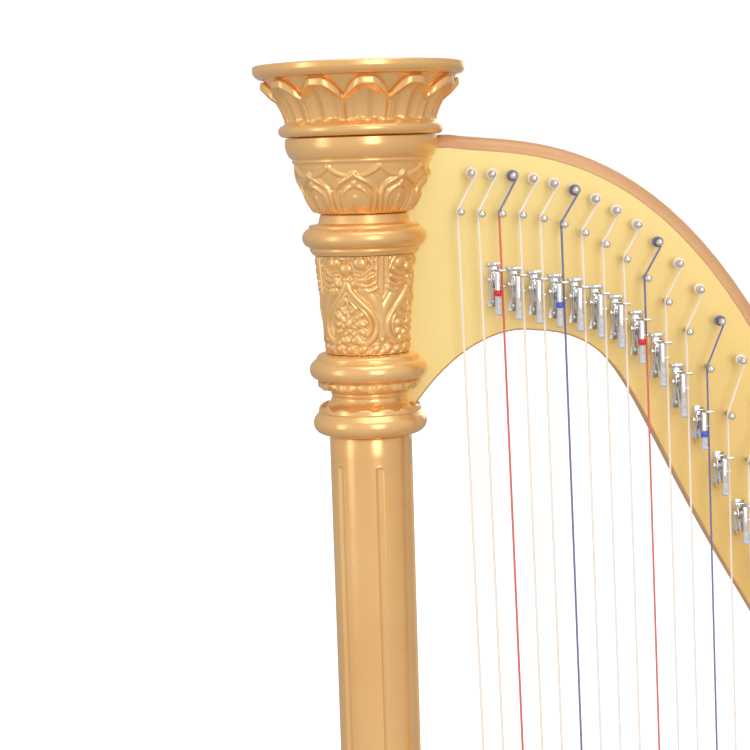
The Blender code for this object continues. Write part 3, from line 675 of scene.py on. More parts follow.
def carve_drum(angle, radius, height):
    x = sector(angle, DRUM_MOTIFS, DRUM_FIRST) / (math.pi / DRUM_MOTIFS) * MOTIF_HALF_WIDTH
    ax = np.abs(x)
    bx = MOTIF_HALF_WIDTH - ax
    y = height - DRUM_LOW
    layers = [
        ridge(LOOP_OUTER, ax, y, 2.4, 2.5),
        ridge(LOOP_INNER, ax, y, 1.4, 1.6),
        flower(x, y),
        ridge([(1.6, 39.4), (3.4, 36.2), (6.6, 32.6)], ax, y, 1.2, 1.6),
        ridge([(0.0, 38.0), (0.0, 33.0)], ax, y, 1.0, 1.6),
        bump(x, y, (0.0, 53.2), (3.6, 2.6), 2.5),
        bump(ax, y, (6.6, 50.4), (4.4, 3.0), 2.4, 0.35),
        bump(x, y, (0.0, 60.6), (5.6, 4.6), 3.0),
        bump(ax, y, (10.8, 64.4), (5.4, 4.6), 2.8, -0.4),
        bump(x, y, (0.0, 68.0), (5.6, 2.4), 2.0),
        ridge([(15.4, 69.0), (18.4, 64.6), (20.6, 59.6)], ax, y, 1.5, 1.9),
        ridge([(18.8, 69.0), (20.6, 65.8)], ax, y, 1.2, 1.6),
        ridge(FORK, bx, y, 4.4, 1.9),
        bump(bx, y, (0.0, 10.4), (2.6, 2.4), 2.2),
        ridge([(0.0, 43.0), (0.0, 70.0)], bx, y, 1.3, 1.8),
        ridge(LANCE_EDGE, bx, y, 1.3, 1.8),
    ]
    for points in FAN_RIBS:
        layers.append(ridge(points, ax, y, 2.0, 2.4))
    layers.append(inside(np.vstack([spline(LANCE_EDGE), [[0.0, 70.0]]]), bx, y) * 0.8)
    for row, place_y, size, tall in ((0.0, 4.0, (4.4, 2.9), 2.5), (0.5, 1.6, (3.2, 2.0), 2.0)):
        first = DRUM_FIRST + row * 360 / BORDER_LEAVES
        leaf = sector(angle, BORDER_LEAVES, first) * BORDER_RADIUS
        layers.append(bump(leaf, y, (0.0, place_y), size, tall, 0.35))
    relief = np.maximum.reduce(layers) - 1.8
    return softened(relief * between(y, 0.0, 0.6, 68.4, DRUM_HIGH - DRUM_LOW))


# ---- collars, shaft and foot -----------------------------------------------------------
UPPER_COLLAR = [(30.6, 1455.7), (31.0, 1455.4), (32.6, 1449.6, -0.6), (38.4, 1448.4),
                (39.0, 1448.0, 0.2), (39.3, 1446.2), (40.0, 1445.7, 4.3), (40.0, 1432.9),
                (39.2, 1432.4), (39.0, 1431.8, 0.3), (38.6, 1429.6), (38.2, 1429.2),
                (37.0, 1427.4)]
LOWER_COLLAR = [(29.9, 1357.3), (33.0, 1356.8, 1.2), (37.0, 1353.0, 0.4), (38.0, 1352.2, 4.6),
                (37.4, 1338.6), (35.2, 1337.4), (35.2, 1333.6), (31.4, 1331.2, -0.6),
                (27.6, 1330.2), (27.0, 1329.6, 0.4), (27.0, 1327.0), (26.7, 1326.4),
                (27.0, 1325.8, -1.1), (32.4, 1319.6), (34.8, 1318.2), (35.4, 1314.6, 5.6),
                (34.8, 1299.4), (31.0, 1298.7)]
SCALLOPS, SCALLOP_Z = 14, 1321.0
FRINGE_LEAVES, FRINGE_Z = 11, 1335.0


def carve_collar(angle, radius, height):
    """A leafy fringe under the upper ring and a scalloped lip over the lower one."""
    wave = np.abs(np.sin(SCALLOPS / 2 * (angle + 0.10)))
    edge = SCALLOP_Z - 3.0 * wave ** 0.6
    lip = 1.5 * between(height, 1313.0, 1315.6, edge - 0.35, edge + 0.35)
    leaf = sector(angle, FRINGE_LEAVES, 3.0) * FRINGE_LEAVES / (2 * math.pi)
    edge = FRINGE_Z - 2.8 * (1 - np.abs(leaf * 2) ** 1.6) + 0.5 * np.sin(angle * 5)
    fringe = 1.5 * between(height, edge - 0.35, edge + 0.35, 1337.0, 1338.2)
    vein = -0.7 * np.exp(-(leaf * 12) ** 2) * smooth_step(fringe, 0.5, 1.4)
    curl = 0.5 * np.cos(leaf * 12) * smooth_step(fringe, 0.5, 1.4)
    return lip + fringe + vein + curl


SHAFT_TOP_Z, SHAFT_FOOT_Z = 1298.2, 240.0
SHAFT_TOP_RADIUS, SHAFT_TAPER = 29.5, 0.7
FLUTE_COUNT = 6
FLUTE_FIRST = 12.0          # degrees
FLUTE_HALF_WIDTH = 2.7
FLUTE_DEPTH = 1.5
FLUTE_TOP, FLUTE_FOOT = 1278.0, 268.0


def carve_shaft(angle, radius, height):
    x = sector(angle, FLUTE_COUNT, FLUTE_FIRST) * radius
    beyond = np.maximum(np.maximum(height - FLUTE_TOP + FLUTE_HALF_WIDTH,
                                   FLUTE_FOOT + FLUTE_HALF_WIDTH - height), 0)
    across = np.hypot(x, beyond) / FLUTE_HALF_WIDTH
    lip = 0.12 * np.exp(-((across - 1.08) / 0.12) ** 2)
    return lip - FLUTE_DEPTH * np.sqrt(np.clip(1 - across ** 2, 0, 1))


def shaft_outline():
    """Corners down the shaft, close together only at the flutes' ends."""
    heights = [SHAFT_TOP_Z, SHAFT_TOP_Z - 0.6, *np.arange(FLUTE_TOP + 6, FLUTE_TOP - 12, -0.5),
               *np.linspace(FLUTE_TOP - 12, FLUTE_FOOT + 14, 40),
               *np.arange(FLUTE_FOOT + 13.5, FLUTE_FOOT - 5, -0.5),
               SHAFT_FOOT_Z + 0.6, SHAFT_FOOT_Z]
    share = (SHAFT_TOP_Z - np.array(heights)) / (SHAFT_TOP_Z - SHAFT_FOOT_Z)
    radii = SHAFT_TOP_RADIUS - SHAFT_TAPER * share
    radii[[0, -1]] -= 0.4
    return list(zip(radii, heights))


PILLAR_FOOT = [(31.0, 239.7), (33.5, 239.4, 0.8), (34.5, 237.0, 4.6), (33.5, 222.4),
               (32.3, 221.4), (31.8, 220.6, -0.6), (32.0, 213.6), (33.6, 212.4, 1.6),
               (45.8, 163.0), (46.4, 160.4, 0.4), (46.5, 105.9), (46.0, 105.3)]
FOOT_LEAF_FOOT_Z = 164.0


def carve_foot(angle, radius, height):
    """Lotus leaves above a ring of shallow panels."""
    leaves = lotus(angle, (height - FOOT_LEAF_FOOT_Z) * 0.86)
    across = np.abs(lotus_sector(angle) * radius)
    inset = smooth_step(across, 12.6, 11.8) * between(height, 115.0, 116.0, 152.0, 153.0)
    return softened(leaves * between(height, 163.4, 165.0, 209.0, 211.6) - 0.9 * inset)


def build_pillar():
    build_crown()
    turned("lotus_bowl", "capital_bowl", BOWL, 560, 0.5, carve_bowl, carved_gold)
    turned("upper_ring_collar", "upper_collar", UPPER_COLLAR, 224, 0.7)
    turned("drum_carving", "carved_drum", DRUM, 560, 0.45, carve_drum, carved_gold, 1.7)
    turned("scalloped_collar", "lower_collar", LOWER_COLLAR, 392, 0.5, carve_collar, carved_gold)
    turned("fluted_shaft", "pillar_shaft", shaft_outline(), 360, 1000.0, carve_shaft,
           carved_gold, 2.4)
    turned("lotus_foot", "pillar_foot", PILLAR_FOOT, 400, 0.8, carve_foot, carved_gold)


# ---- neck ------------------------------------------------------------------------------
ROUND_OVER = 0.0085
EDGE_BREAK = 0.0012
ROUND_STEPS = 8
OUTLINE_STEPS = 22
OUTER_SPANS = 4             # the outline's first spans run along the outer edge
FACE_RIM = [(1.10, 0.0), (1.06, -0.05), (1.01, -0.04), (0.99, 0.02)]


def bezier_point(piece, t):
    s = 1.0 - t
    weights = (s * s * s, 3 * s * s * t, 3 * s * t * t, t * t * t)
    return tuple(sum(w * point[k] for w, point in zip(weights, piece)) for k in (0, 1))


def neck_loop():
    """Outline points with each point's edge radius: wide on the outer edge, small inside."""
    points, widths = [], []
    for k, (anchor, _, after) in enumerate(NECK_OUTLINE):
        following, before, _ = NECK_OUTLINE[(k + 1) % len(NECK_OUTLINE)]
        for j in range(OUTLINE_STEPS):
            t = j / OUTLINE_STEPS
            points.append(bezier_point((anchor, after, before, following), t))
            fade = np.clip(2 * (OUTER_SPANS + 0.5 - k - t), 0, 1)
            widths.append(EDGE_BREAK + (ROUND_OVER - EDGE_BREAK) * fade)
    return np.array(points), np.array(widths)


def pillar_cutter():
    """The pillar's own shape beside the neck, a little smaller so that no gap shows."""
    envelope = [(0.4, 1530.0), (58.8, 1530.0), (58.8, 1512.0), (54.2, 1509.0)]
    for part in (BOWL[2:], UPPER_COLLAR, DRUM, LOWER_COLLAR):
        grow = -1.6 if part is DRUM else -0.3
        envelope += [(point[0] + grow, *point[1:]) for point in part]
    envelope += [(29.9, 1270.0), (0.4, 1270.0)]
    radius, height = spun(profile(envelope, 1.5), 96)
    return loose_object("cutter", grid_mesh("cutter", radius, height, np.ones_like(radius)))


def build_neck():
    points, widths = neck_loop()
    along = np.roll(points, -1, axis=0) - np.roll(points, 1, axis=0)
    along /= np.maximum(np.hypot(along[:, 0], along[:, 1]), 1e-9)[:, None]
    inwards = np.stack([along[:, 1], -along[:, 0]], axis=1)
    quarter = [math.pi / 2 * k / ROUND_STEPS for k in range(ROUND_STEPS + 1)]
    stations = [(1 - math.sin(turn), 1 - math.cos(turn)) for turn in quarter]
    front = FACE_RIM + [(inset * 0.99, 0.02 + depth * 0.98) for inset, depth in stations[1:]]
    work = bmesh.new()
    loops = []
    for face_y, into, rounding in ((NECK_FACE_Y, 1, front), (NECK_BACK_Y, -1, stations[::-1])):
        for inset, depth in rounding:
            y = face_y + into * depth * widths
            place = points + inwards * (inset * widths)[:, None]
            loops.append([work.verts.new((p[0], q, p[1])) for p, q in zip(place, y)])
    # The neck's sides and round-overs take the darker gold, which is painted shade.
    for face in skin(work, loops)[:-2]:
        face.material_index = 1
    neck = loose_object("neck_blank", finished(work, "neck_blank"))
    neck.data.materials.append(pale_gold)
    neck.data.materials.append(painted_shade_gold)
    cutter = pillar_cutter()
    cut(neck, cutter)
    mesh = applied(neck, "harmonic_neck", cutter)
    mesh.shade_smooth()
    mesh.set_sharp_from_angle(angle=math.radians(30))
    add_piece("harmonic_neck", mesh, [], ("neck",))


# ---- pins and strings ------------------------------------------------------------------
WOUND_PIN_RADIUS = 0.0024
COIL_TURNS, COIL_STEPS = 3, 20
LATE_RED_STRING = 9         # from here the blue tail of a red string reaches its lever
TAIL_PAST_PIN = 0.040
PIN_ROOT_Y = NECK_FACE_Y + 0.004
TUNING_END_HALF, TUNING_END_LENGTH = 0.0025, 0.0158


def height_on(line, x):
    piece = next((part for part in line if x <= part[3][0]), line[-1])
    low, high = 0.0, 1.0
    for _ in range(40):
        middle = (low + high) / 2
        if bezier_point(piece, middle)[0] < x:
            low = middle
        else:
            high = middle
    return bezier_point(piece, low)[1]


def string_radius(index):
    part = index / (STRING_COUNT - 1)
    return BASS_STRING_RADIUS + (TREBLE_STRING_RADIUS - BASS_STRING_RADIUS) * part


def string_lean(index):
    return math.tan(BASS_LEAN + (TREBLE_LEAN - BASS_LEAN) * index / (STRING_COUNT - 1))


def bridge_pin_at(index):
    x = FIRST_PIN_X + PIN_SPACING * index
    return Vector((x, 0.0, height_on(BRIDGE_LINE, x)))


def string_top(index):
    return bridge_pin_at(index) - Vector((STRING_BESIDE_PIN, 0.0, 0.0))


def tuning_pin_at(index):
    x = bridge_pin_at(index).x + TUNING_PIN_AHEAD
    return Vector((x, 0.004, height_on(TUNING_LINE, x)))


def board_point(along, inward, y=0.0):
    return BOARD_ORIGIN + ALONG * along + INWARD * inward + Vector((0.0, y, 0.0))


def string_foot(index, inward=-0.003):
    top = string_top(index)
    lean = string_lean(index)
    start = board_point(0.0, inward)
    along = (top.x + (top.z - start.z) * lean - start.x) / (ALONG.x + ALONG.z * lean)
    return board_point(along, inward)


def tube_into(work, points, radius, material):
    """Sweep a closed round tube along points."""
    up = (points[1] - points[0]).normalized().orthogonal()
    rings = []
    for k, point in enumerate(points):
        tangent = (points[min(k + 1, len(points) - 1)] - points[max(k - 1, 0)]).normalized()
        up = (up - tangent * up.dot(tangent)).normalized()
        sideways = tangent.cross(up)
        rings.append([work.verts.new(point + radius * (c * up + s * sideways))
                      for c, s in turns(8)])
    for face in skin(work, rings):
        face.material_index = material


def lathe_into(work, outline, centre, sides=20):
    """Turn (radius, y) points about an axis along y through centre."""
    skin(work, [[work.verts.new((centre.x + radius * c, y, centre.z + radius * s))
                 for c, s in turns(sides)] for radius, y in outline])


def pin_kind(index):
    """C strings are red with a blue tail, F strings are blue, the others clear."""
    return {2: "c", 5: "f"}.get(index % 7, "plain")


def build_pins():
    for index in range(STRING_COUNT):
        pin = tuning_pin_at(index)
        radius, half = WOUND_PIN_RADIUS, TUNING_END_HALF
        work = bmesh.new()
        lathe_into(work, [(0.0008, -0.0074), (0.0017, -0.0069), (0.0023, -0.0058),
                          (0.0025, -0.0043), (0.0025, -0.0020), (0.0021, -0.0012),
                          (radius - 0.0004, 0.0), (radius, 0.0016), (radius, PIN_ROOT_Y)], pin)
        lathe_into(work, [(0.0034, NECK_BACK_Y - 0.004), (0.0034, NECK_BACK_Y + 0.0008)], pin)
        box_into(work, (pin.x - half, NECK_BACK_Y - 0.003, pin.z - half),
                 (pin.x + half, NECK_BACK_Y + TUNING_END_LENGTH, pin.z + half), 0.0006)
        add_piece(f"tuning_pin_{index + 1:02d}", finished(work, "tuning_pin"), [chrome],
                  ("neck",))
        groove = STRING_BESIDE_PIN - string_radius(index) - 0.0001
        work = bmesh.new()
        lathe_into(work, [(0.0009, -0.0054), (0.0018, -0.0051), (0.0024, -0.0043),
                          (0.0026, -0.0033), (0.0026, -0.0024), (groove, -0.0013),
                          (groove, 0.0013), (0.0024, 0.0022), (0.0026, 0.0028),
                          (0.0022, 0.0036), (0.0018, 0.0044), (0.0018, PIN_ROOT_Y)],
                   bridge_pin_at(index))
        add_piece(f"bridge_pin_{index + 1:02d}", finished(work, "bridge_pin"), [chrome],
                  ("neck",))


def string_path(index):
    """Coil on the tuning pin, then its tail to the bridge pin."""
    pin, top, radius = tuning_pin_at(index), string_top(index), string_radius(index)
    wound = WOUND_PIN_RADIUS + radius
    leave = math.radians(-18)
    points = []
    for k in range(COIL_TURNS * COIL_STEPS, -1, -1):
        turn = leave + 2 * math.pi * k / COIL_STEPS
        depth = 0.0032 + 2 * radius * 1.06 * k / COIL_STEPS
        points.append(Vector((pin.x + wound * math.cos(turn), depth,
                              pin.z + wound * math.sin(turn))))
    last = points[-1]
    points += [last.lerp(top + Vector((0.0, 0.0, 0.0012)), k / 5) for k in range(1, 5)]
    return points + [top + Vector((0.0, 0.0, 0.0016))]


def build_strings():
    colours = {"plain": (clear_string, clear_string, "clear_string"),
               "c": (blue_string, red_string, "red_string"),
               "f": (blue_string, blue_string, "blue_string")}
    for index in range(STRING_COUNT):
        kind = pin_kind(index)
        tail, speaking, slot = colours[kind]
        top, foot, radius = string_top(index), string_foot(index), string_radius(index)
        ends = [top]
        if kind == "c" and index >= LATE_RED_STRING:
            ends.append(top.lerp(foot, TAIL_PAST_PIN / (top - foot).length))
        work = bmesh.new()
        tube_into(work, string_path(index) + ends, radius, 0)
        tube_into(work, [ends[-1] + Vector((0, 0, 0.0004)), top.lerp(foot, 0.3),
                         top.lerp(foot, 0.7), foot], radius, 1)
        add_piece(f"string_{index + 1:02d}", finished(work, "string"), [tail, speaking],
                  ("strings_on_rib",))


# ---- levers ----------------------------------------------------------------------------
LEVER_COUNT = 34
LARGE_LEVERS = 10           # from the bass; the others are shorter by the next two values
SMALL_LEVER_CUT = 0.0045
SMALL_FOOT_RISE = 0.0055
HANDLE_SIDE = [(0.0084, 0.0062), (0.0096, 0.0069), (0.0110, 0.0056), (0.0117, -0.0060),
               (0.0119, -0.0236), (0.0101, -0.0236), (0.0092, -0.0080), (0.0050, -0.0046),
               (0.0008, -0.0062), (-0.0026, -0.0064), (-0.0030, -0.0030), (-0.0020, 0.0020),
               (0.0030, 0.0022), (0.0076, 0.0006)]
FORK_SIDE = [(-0.0080, 0.0080), (0.0100, 0.0080), (0.0105, 0.0068), (0.0098, 0.0057),
             (-0.0030, 0.0053), (-0.0034, 0.0020), (0.0012, 0.0020), (0.0020, 0.0),
             (0.0012, -0.0019), (-0.0030, -0.0022), (-0.0034, -0.0125), (-0.0080, -0.0150)]
CHEEK_SIDE = [(-0.0080, 0.0058), (0.0004, 0.0046), (0.0030, 0.0020), (0.0036, -0.0008),
              (0.0014, -0.0034), (-0.0020, -0.0090), (-0.0030, -0.0150), (-0.0080, -0.0180)]
SLEEVE = [(-0.0108, -0.0035, 0.0015, -0.0109, 0.0010), (-0.0112, -0.0035, 0.0018, -0.0109, 0.0012),
          (-0.0150, -0.0035, 0.0019, -0.0109, 0.0013), (-0.0205, -0.0034, 0.0022, -0.0109, 0.0015),
          (-0.0222, -0.0034, 0.0023, -0.0109, 0.0016), (-0.0226, -0.0034, 0.0026, -0.0109, 0.0019),
          (-0.0238, -0.0034, 0.0026, -0.0109, 0.0018), (-0.0243, -0.0034, 0.0019, -0.0109, 0.0012)]
BAND = [(-0.0064, -0.0035, 0.0020, -0.0108, 0.0014), (-0.0067, -0.0035, 0.0026, -0.0108, 0.0018),
        (-0.0086, -0.0035, 0.0028, -0.0108, 0.0019), (-0.0104, -0.0035, 0.0026, -0.0108, 0.0018),
        (-0.0107, -0.0035, 0.0020, -0.0108, 0.0014)]
BRACKET_FOOT = [(-0.0076, -0.0100), (-0.0040, -0.0100), (-0.0030, -0.0188), (-0.0052, -0.0197),
                (-0.0092, -0.0192), (-0.0097, -0.0184)]
SPRING_COILS, SPRING_PITCH = 6, 0.0016


def plate_into(work, outline, x_pair, bevel):
    """Extrude an outline of (out, up) points across x, in the lever's own frame."""
    verts, _ = extrude(work, [(x_pair[0], -out, up) for out, up in outline],
                       (x_pair[1] - x_pair[0], 0, 0))
    bevel_round(work, verts, bevel)


def rod_x(work, start, end, out, up, radius, sides=14):
    """A rod along x with slightly rounded ends, in the lever's own frame."""
    soft = min(0.0003, radius / 3)
    spots = [(start, radius - soft), (start + soft, radius), (end - soft, radius),
             (end, radius - soft)]
    skin(work, [[work.verts.new((x, r * c - out, r * s + up)) for c, s in turns(sides)]
                for x, r in spots])


def loft_mesh(name, sections):
    """A rounded bar along z: each section is (z, middle x, half width, middle y, half depth)."""
    def squared(value):
        return math.copysign(abs(value) ** 0.5, value)
    work = bmesh.new()
    skin(work, [[work.verts.new((x + half_x * squared(c), y + half_y * squared(s), z))
                 for c, s in turns(20, 0.5)] for z, x, half_x, y, half_y in sections])
    return finished(work, name)


def handle_mesh(shorter):
    work = bmesh.new()
    side = [(out, up + shorter if up < -0.020 else up) for out, up in HANDLE_SIDE]
    plate_into(work, side, (-0.0052, -0.0020), 0.0004)
    rod_x(work, -0.0064, -0.0021, 0.0, 0.0, 0.0014)
    rod_x(work, -0.0046, 0.0021, -0.0013, -0.0051, 0.0009)
    rod_x(work, 0.0010, 0.0026, -0.0013, -0.0051, 0.0014)
    return finished(work, "lever_handle")


def sleeve_mesh(shorter):
    return loft_mesh("lever_sleeve", [(z + shorter * smooth_step(-z, 0.010, 0.0222), *rest)
                                      for z, *rest in SLEEVE])


def bracket_mesh(large):
    """Back plate, foot, cheek, fork and fret rod; the large kind has a two-hole top bar."""
    work = bmesh.new()
    box_into(work, (-0.0082, 0.0078, -0.0120 if large else -0.0070),
             (-0.0026, 0.0094, 0.0090), 0.0003)
    rise = 0.0 if large else SMALL_FOOT_RISE
    extrude(work, [(x, 0.0092, z + rise) for x, z in BRACKET_FOOT], (0, -0.0020, 0))
    lathe_into(work, [(0.0006, 0.0060), (0.0012, 0.0062), (0.0015, 0.0068), (0.0015, 0.0088)],
               Vector((-0.0064, 0.0, -0.0158 + rise)), 14)
    if large:
        box_into(work, (-0.0100, 0.0062, 0.0092), (0.0004, 0.0092, 0.0120), 0.0006)
        for x in (-0.0086, -0.0014):
            lathe_into(work, [(0.0005, 0.0050), (0.0009, 0.0052), (0.0010, 0.0060),
                              (0.0010, 0.0080)], Vector((x, 0.0, 0.0106)), 12)
    plate_into(work, FORK_SIDE, (-0.0019, -0.0009), 0.00015)
    plate_into(work, CHEEK_SIDE, (-0.0076, -0.0067), 0.0002)
    for k in range(SPRING_COILS):
        rod_x(work, -0.0022, -0.0007, -0.0036, -0.0040 - SPRING_PITCH * k, 0.0005, 8)
    rod_x(work, -0.0090, -0.0074, 0.0, 0.0, 0.0011)
    rod_x(work, -0.0100, -0.0086, 0.0, 0.0, 0.0022)
    rod_x(work, -0.0084, -0.0012, -0.0014, 0.0070, 0.0005, 10)
    rod_x(work, -0.0020, 0.0030, 0.0092, 0.0068, 0.0010)
    rod_x(work, 0.0024, 0.0033, 0.0092, 0.0068, 0.0013)
    return finished(work, "lever_bracket")


def build_levers():
    sizes = {large: (handle_mesh(shorter), sleeve_mesh(shorter), bracket_mesh(large))
             for large, shorter in ((True, 0.0), (False, SMALL_LEVER_CUT))}
    bands = {"c": (loft_mesh("lever_band", BAND), band_red, "red_string"),
             "f": (loft_mesh("lever_band", BAND), band_blue, "blue_string")}
    for joint in frame["record"]["behaviour"]["joints"]:
        node = joint["name"].removesuffix("_turn")
        number = int(node[-2:])
        body, at = joint["child"], Vector(joint["pos_m"])
        handle, sleeve, bracket = sizes[number <= LARGE_LEVERS]
        parts = [("handle", handle, chrome, "chrome", node, body, 30.0),
                 ("sleeve", sleeve, sleeve_grey, "lever_sleeve", node, body, 50.0)]
        kind = pin_kind(STRING_COUNT - LEVER_COUNT + number - 1)
        if kind in bands:
            parts.append(("band", *bands[kind], node, body, 50.0))
        parts.append(("bracket", bracket, chrome, "chrome", "neck", ROOT, 30.0))
        for part, mesh, material, slot, replaced, rides, sharp in parts:
            add_piece(f"lever_{part}_{number:02d}", mesh, [material], (replaced,), rides,
                      at, sharp)


# ---- soundbox --------------------------------------------------------------------------
BOARD_THICKNESS = 0.004
BOX_WALL = 0.006
GAP = 0.0003
BASE_TOP = 0.105
SECTION_STEPS = 56
CAP_LENGTH = 0.014
RIM_STEPS, RIM_SIDES = 72, 10
RIM_RADIUS = 0.0022
EYELET_SIDES = 16
INLAY_EDGES = (0.0062, 0.0030)      # its two edges, from the soundboard's edge


def box_half_width(along):
    share = (along - BOX_LOW) / (BOX_HIGH - BOX_LOW)
    return (BOX_WIDTH_LOW + (BOX_WIDTH_HIGH - BOX_WIDTH_LOW) * share) / 2


def section_point(along, angle, inset=0.0):
    share = (along - BOX_LOW) / (BOX_HIGH - BOX_LOW)
    depth = BOX_DEPTH_LOW + (BOX_DEPTH_HIGH - BOX_DEPTH_LOW) * share - inset
    inward = BOARD_THICKNESS + (depth - BOARD_THICKNESS) * math.sin(angle)
    return board_point(along, inward, (box_half_width(along) - inset) * math.cos(angle))


def section_row(work, along):
    return [work.verts.new(section_point(along, math.pi * k / SECTION_STEPS))
            for k in range(SECTION_STEPS + 1)]


def bar_mesh(name, ends, near, far, bevel=0.0):
    """A flat bar on the soundboard; each of its two ends is (along, left y, right y)."""
    work = bmesh.new()
    bmesh.ops.create_cube(work, size=1.0)
    for vert in work.verts:
        along, left, right = ends[vert.co.z > 0]
        vert.co = board_point(along, far if vert.co.x > 0 else near,
                              right if vert.co.y > 0 else left)
    if bevel:
        bevel_edges(work, list(work.edges), bevel, 3)
    return finished(work, name)


def seat_cutter():
    """Clears everything on the soundboard's side of the shell."""
    return loose_object("seat", bar_mesh("seat", ((-0.2, -0.3, 0.3), (1.1, -0.3, 0.3)), -0.02,
                                         BOARD_THICKNESS + GAP))


def floor_cutter():
    """Clears everything below the top of the base."""
    work = bmesh.new()
    box_into(work, (-0.2, -0.4, -0.3), (0.6, 0.4, BASE_TOP + GAP))
    return loose_object("floor", finished(work, "floor"))


def port_frame(along):
    depth = (section_point(along, math.pi / 2) - board_point(along, 0.0)).length
    matrix = Matrix.Translation(board_point(along, depth))
    return matrix @ INWARD.to_track_quat("Z", "Y").to_matrix().to_4x4()


def port_cutter():
    work = bmesh.new()
    for along, half_length, half_width in PORTS:
        sized = port_frame(along) @ Matrix.Diagonal((half_length, half_width, 1.0, 1.0))
        bmesh.ops.create_cone(work, cap_ends=True, segments=64, radius1=1.0, radius2=1.0,
                              depth=0.08, matrix=sized)
    return loose_object("ports", finished(work, "ports"))


def build_shell():
    work = bmesh.new()
    rows = [section_row(work, along) for along in np.linspace(BOX_LOW, BOX_HIGH, 30)]
    for row, following in zip(rows, rows[1:]):
        for k in range(SECTION_STEPS):
            work.faces.new((row[k], row[k + 1], following[k + 1], following[k]))
    bmesh.ops.recalc_face_normals(work, faces=work.faces)
    work.faces.ensure_lookup_table()
    if work.faces[len(work.faces) // 2].normal.dot(INWARD) < 0:
        bmesh.ops.reverse_faces(work, faces=work.faces)
    mesh = bpy.data.meshes.new("shell")
    work.to_mesh(mesh)
    work.free()
    shell = loose_object("shell", mesh)
    wall = shell.modifiers.new("wall", "SOLIDIFY")
    wall.thickness = BOX_WALL
    wall.offset = -1.0
    cutters = [port_cutter(), seat_cutter(), floor_cutter()]
    for cutter in cutters:
        cut(shell, cutter)
    add_piece("soundbox_back", applied(shell, "soundbox_back", *cutters), [gold],
              ("soundbox_shell",), sharp=35.0)


def build_port_rims():
    """A raised bead round each sound hole."""
    for number, (along, half_length, half_width) in enumerate(PORTS, start=1):
        matrix = port_frame(along)
        width = box_half_width(along)
        points = []
        for c, s in turns(RIM_STEPS):
            flat = matrix @ Vector((half_length * 1.04 * c, half_width * 1.05 * s, 0.0))
            angle = math.acos(max(-1, min(1, flat.y / width)))
            points.append(section_point((flat - BOARD_ORIGIN).dot(ALONG), angle, 0.0006))
        work = bmesh.new()
        rings = []
        for k, point in enumerate(points):
            tangent = (points[(k + 1) % RIM_STEPS] - points[max(k - 1, 0)]).normalized()
            outward = (INWARD - tangent * INWARD.dot(tangent)).normalized()
            sideways = tangent.cross(outward)
            rings.append([work.verts.new(point + RIM_RADIUS * (c * outward + 1.3 * s * sideways))
                          for c, s in turns(RIM_SIDES)])
        skin(work, rings, closed=True)
        # The bead takes the darker gold that paints shade.
        add_piece(f"sound_hole_rim_{number}", finished(work, "rim"), [painted_shade_gold],
                  ("soundbox_shell",), sharp=0)


def build_board():
    half_low, half_high = BOX_WIDTH_LOW / 2, BOX_WIDTH_HIGH / 2
    floor = floor_cutter()
    board = loose_object("board", bar_mesh("board", ((BOX_LOW, -half_low, half_low),
                                                     (BOX_HIGH + CAP_LENGTH, -half_high,
                                                      half_high)),
                                           0.0, BOARD_THICKNESS, 0.0009))
    cut(board, floor)
    add_piece("soundboard_top", applied(board, "soundboard_top"), [board_wood],
              ("soundboard",), sharp=30.0)
    for side, name in ((-1, "left"), (1, "right")):
        ends = [(along, *(side * (half - edge) for edge in INLAY_EDGES))
                for along, half in ((BOX_LOW + 0.002, half_low), (BOX_HIGH + 0.012, half_high))]
        strip = loose_object("strip", bar_mesh("strip", ends, -0.0004, 0.0004))
        cut(strip, floor)
        add_piece(f"soundboard_inlay_{name}", applied(strip, "inlay"), [binding],
                  ("soundboard",), sharp=30.0)
    bpy.data.objects.remove(floor, do_unlink=True)
    rib = bar_mesh("string_rib", ((-0.020, -0.014, 0.014), (0.915, -0.009, 0.009)), -0.0053,
                   -0.0003, 0.0018)
    add_piece("outer_string_rib", rib, [binding], ("strings_on_rib",), sharp=30.0)


def build_eyelets():
    work = bmesh.new()
    turn = (-INWARD).to_track_quat("Z", "Y").to_matrix().to_4x4()
    for index in range(STRING_COUNT):
        place = Matrix.Translation(string_foot(index, -0.0056)) @ turn
        bore = string_radius(index) + 0.0002
        section = ((bore, 0.0002), (0.0021, 0.0010), (0.0028, 0.0006), (0.0030, -0.0004),
                   (bore, -0.0004))
        skin(work, [[work.verts.new(place @ Vector((r * c, r * s, z)))
                     for c, s in turns(EYELET_SIDES)] for r, z in section], closed=True)
    add_piece("string_eyelets", finished(work, "eyelets"), [brass],
              ("strings_on_rib",), sharp=0)


def build_cap():
    work = bmesh.new()
    low = BOX_HIGH + GAP
    corners = [section_point(low, math.pi * k / SECTION_STEPS) for k in range(SECTION_STEPS + 1)]
    _, tops = extrude(work, corners, ALONG * (CAP_LENGTH - 2 * GAP))
    bmesh.ops.recalc_face_normals(work, faces=work.faces)
    bevel_edges(work, [edge for edge in work.edges if all(v in tops for v in edge.verts)],
                0.003, 4)
    cap = loose_object("cap", finished(work, "cap"))
    seat = seat_cutter()
    cut(cap, seat)
    add_piece("shoulder_cap", applied(cap, "shoulder_cap", seat), [gold],
              ("soundbox_cap",), sharp=30.0)


# ---- base ------------------------------------------------------------------------------
BOLT_HOLES = ((0.0066, 0.030, 0.140), (0.0126, 0.015, 0.0444))      # radius, low z, high z


def base_outline(grow):
    half = [(-0.078, 0.062), (0.050, 0.165), (0.200, 0.196), (0.345, 0.165)]
    side = [(x + math.copysign(grow, x - 0.14), y + grow) for x, y in half]
    return side + [(x, -y) for x, y in reversed(side)]


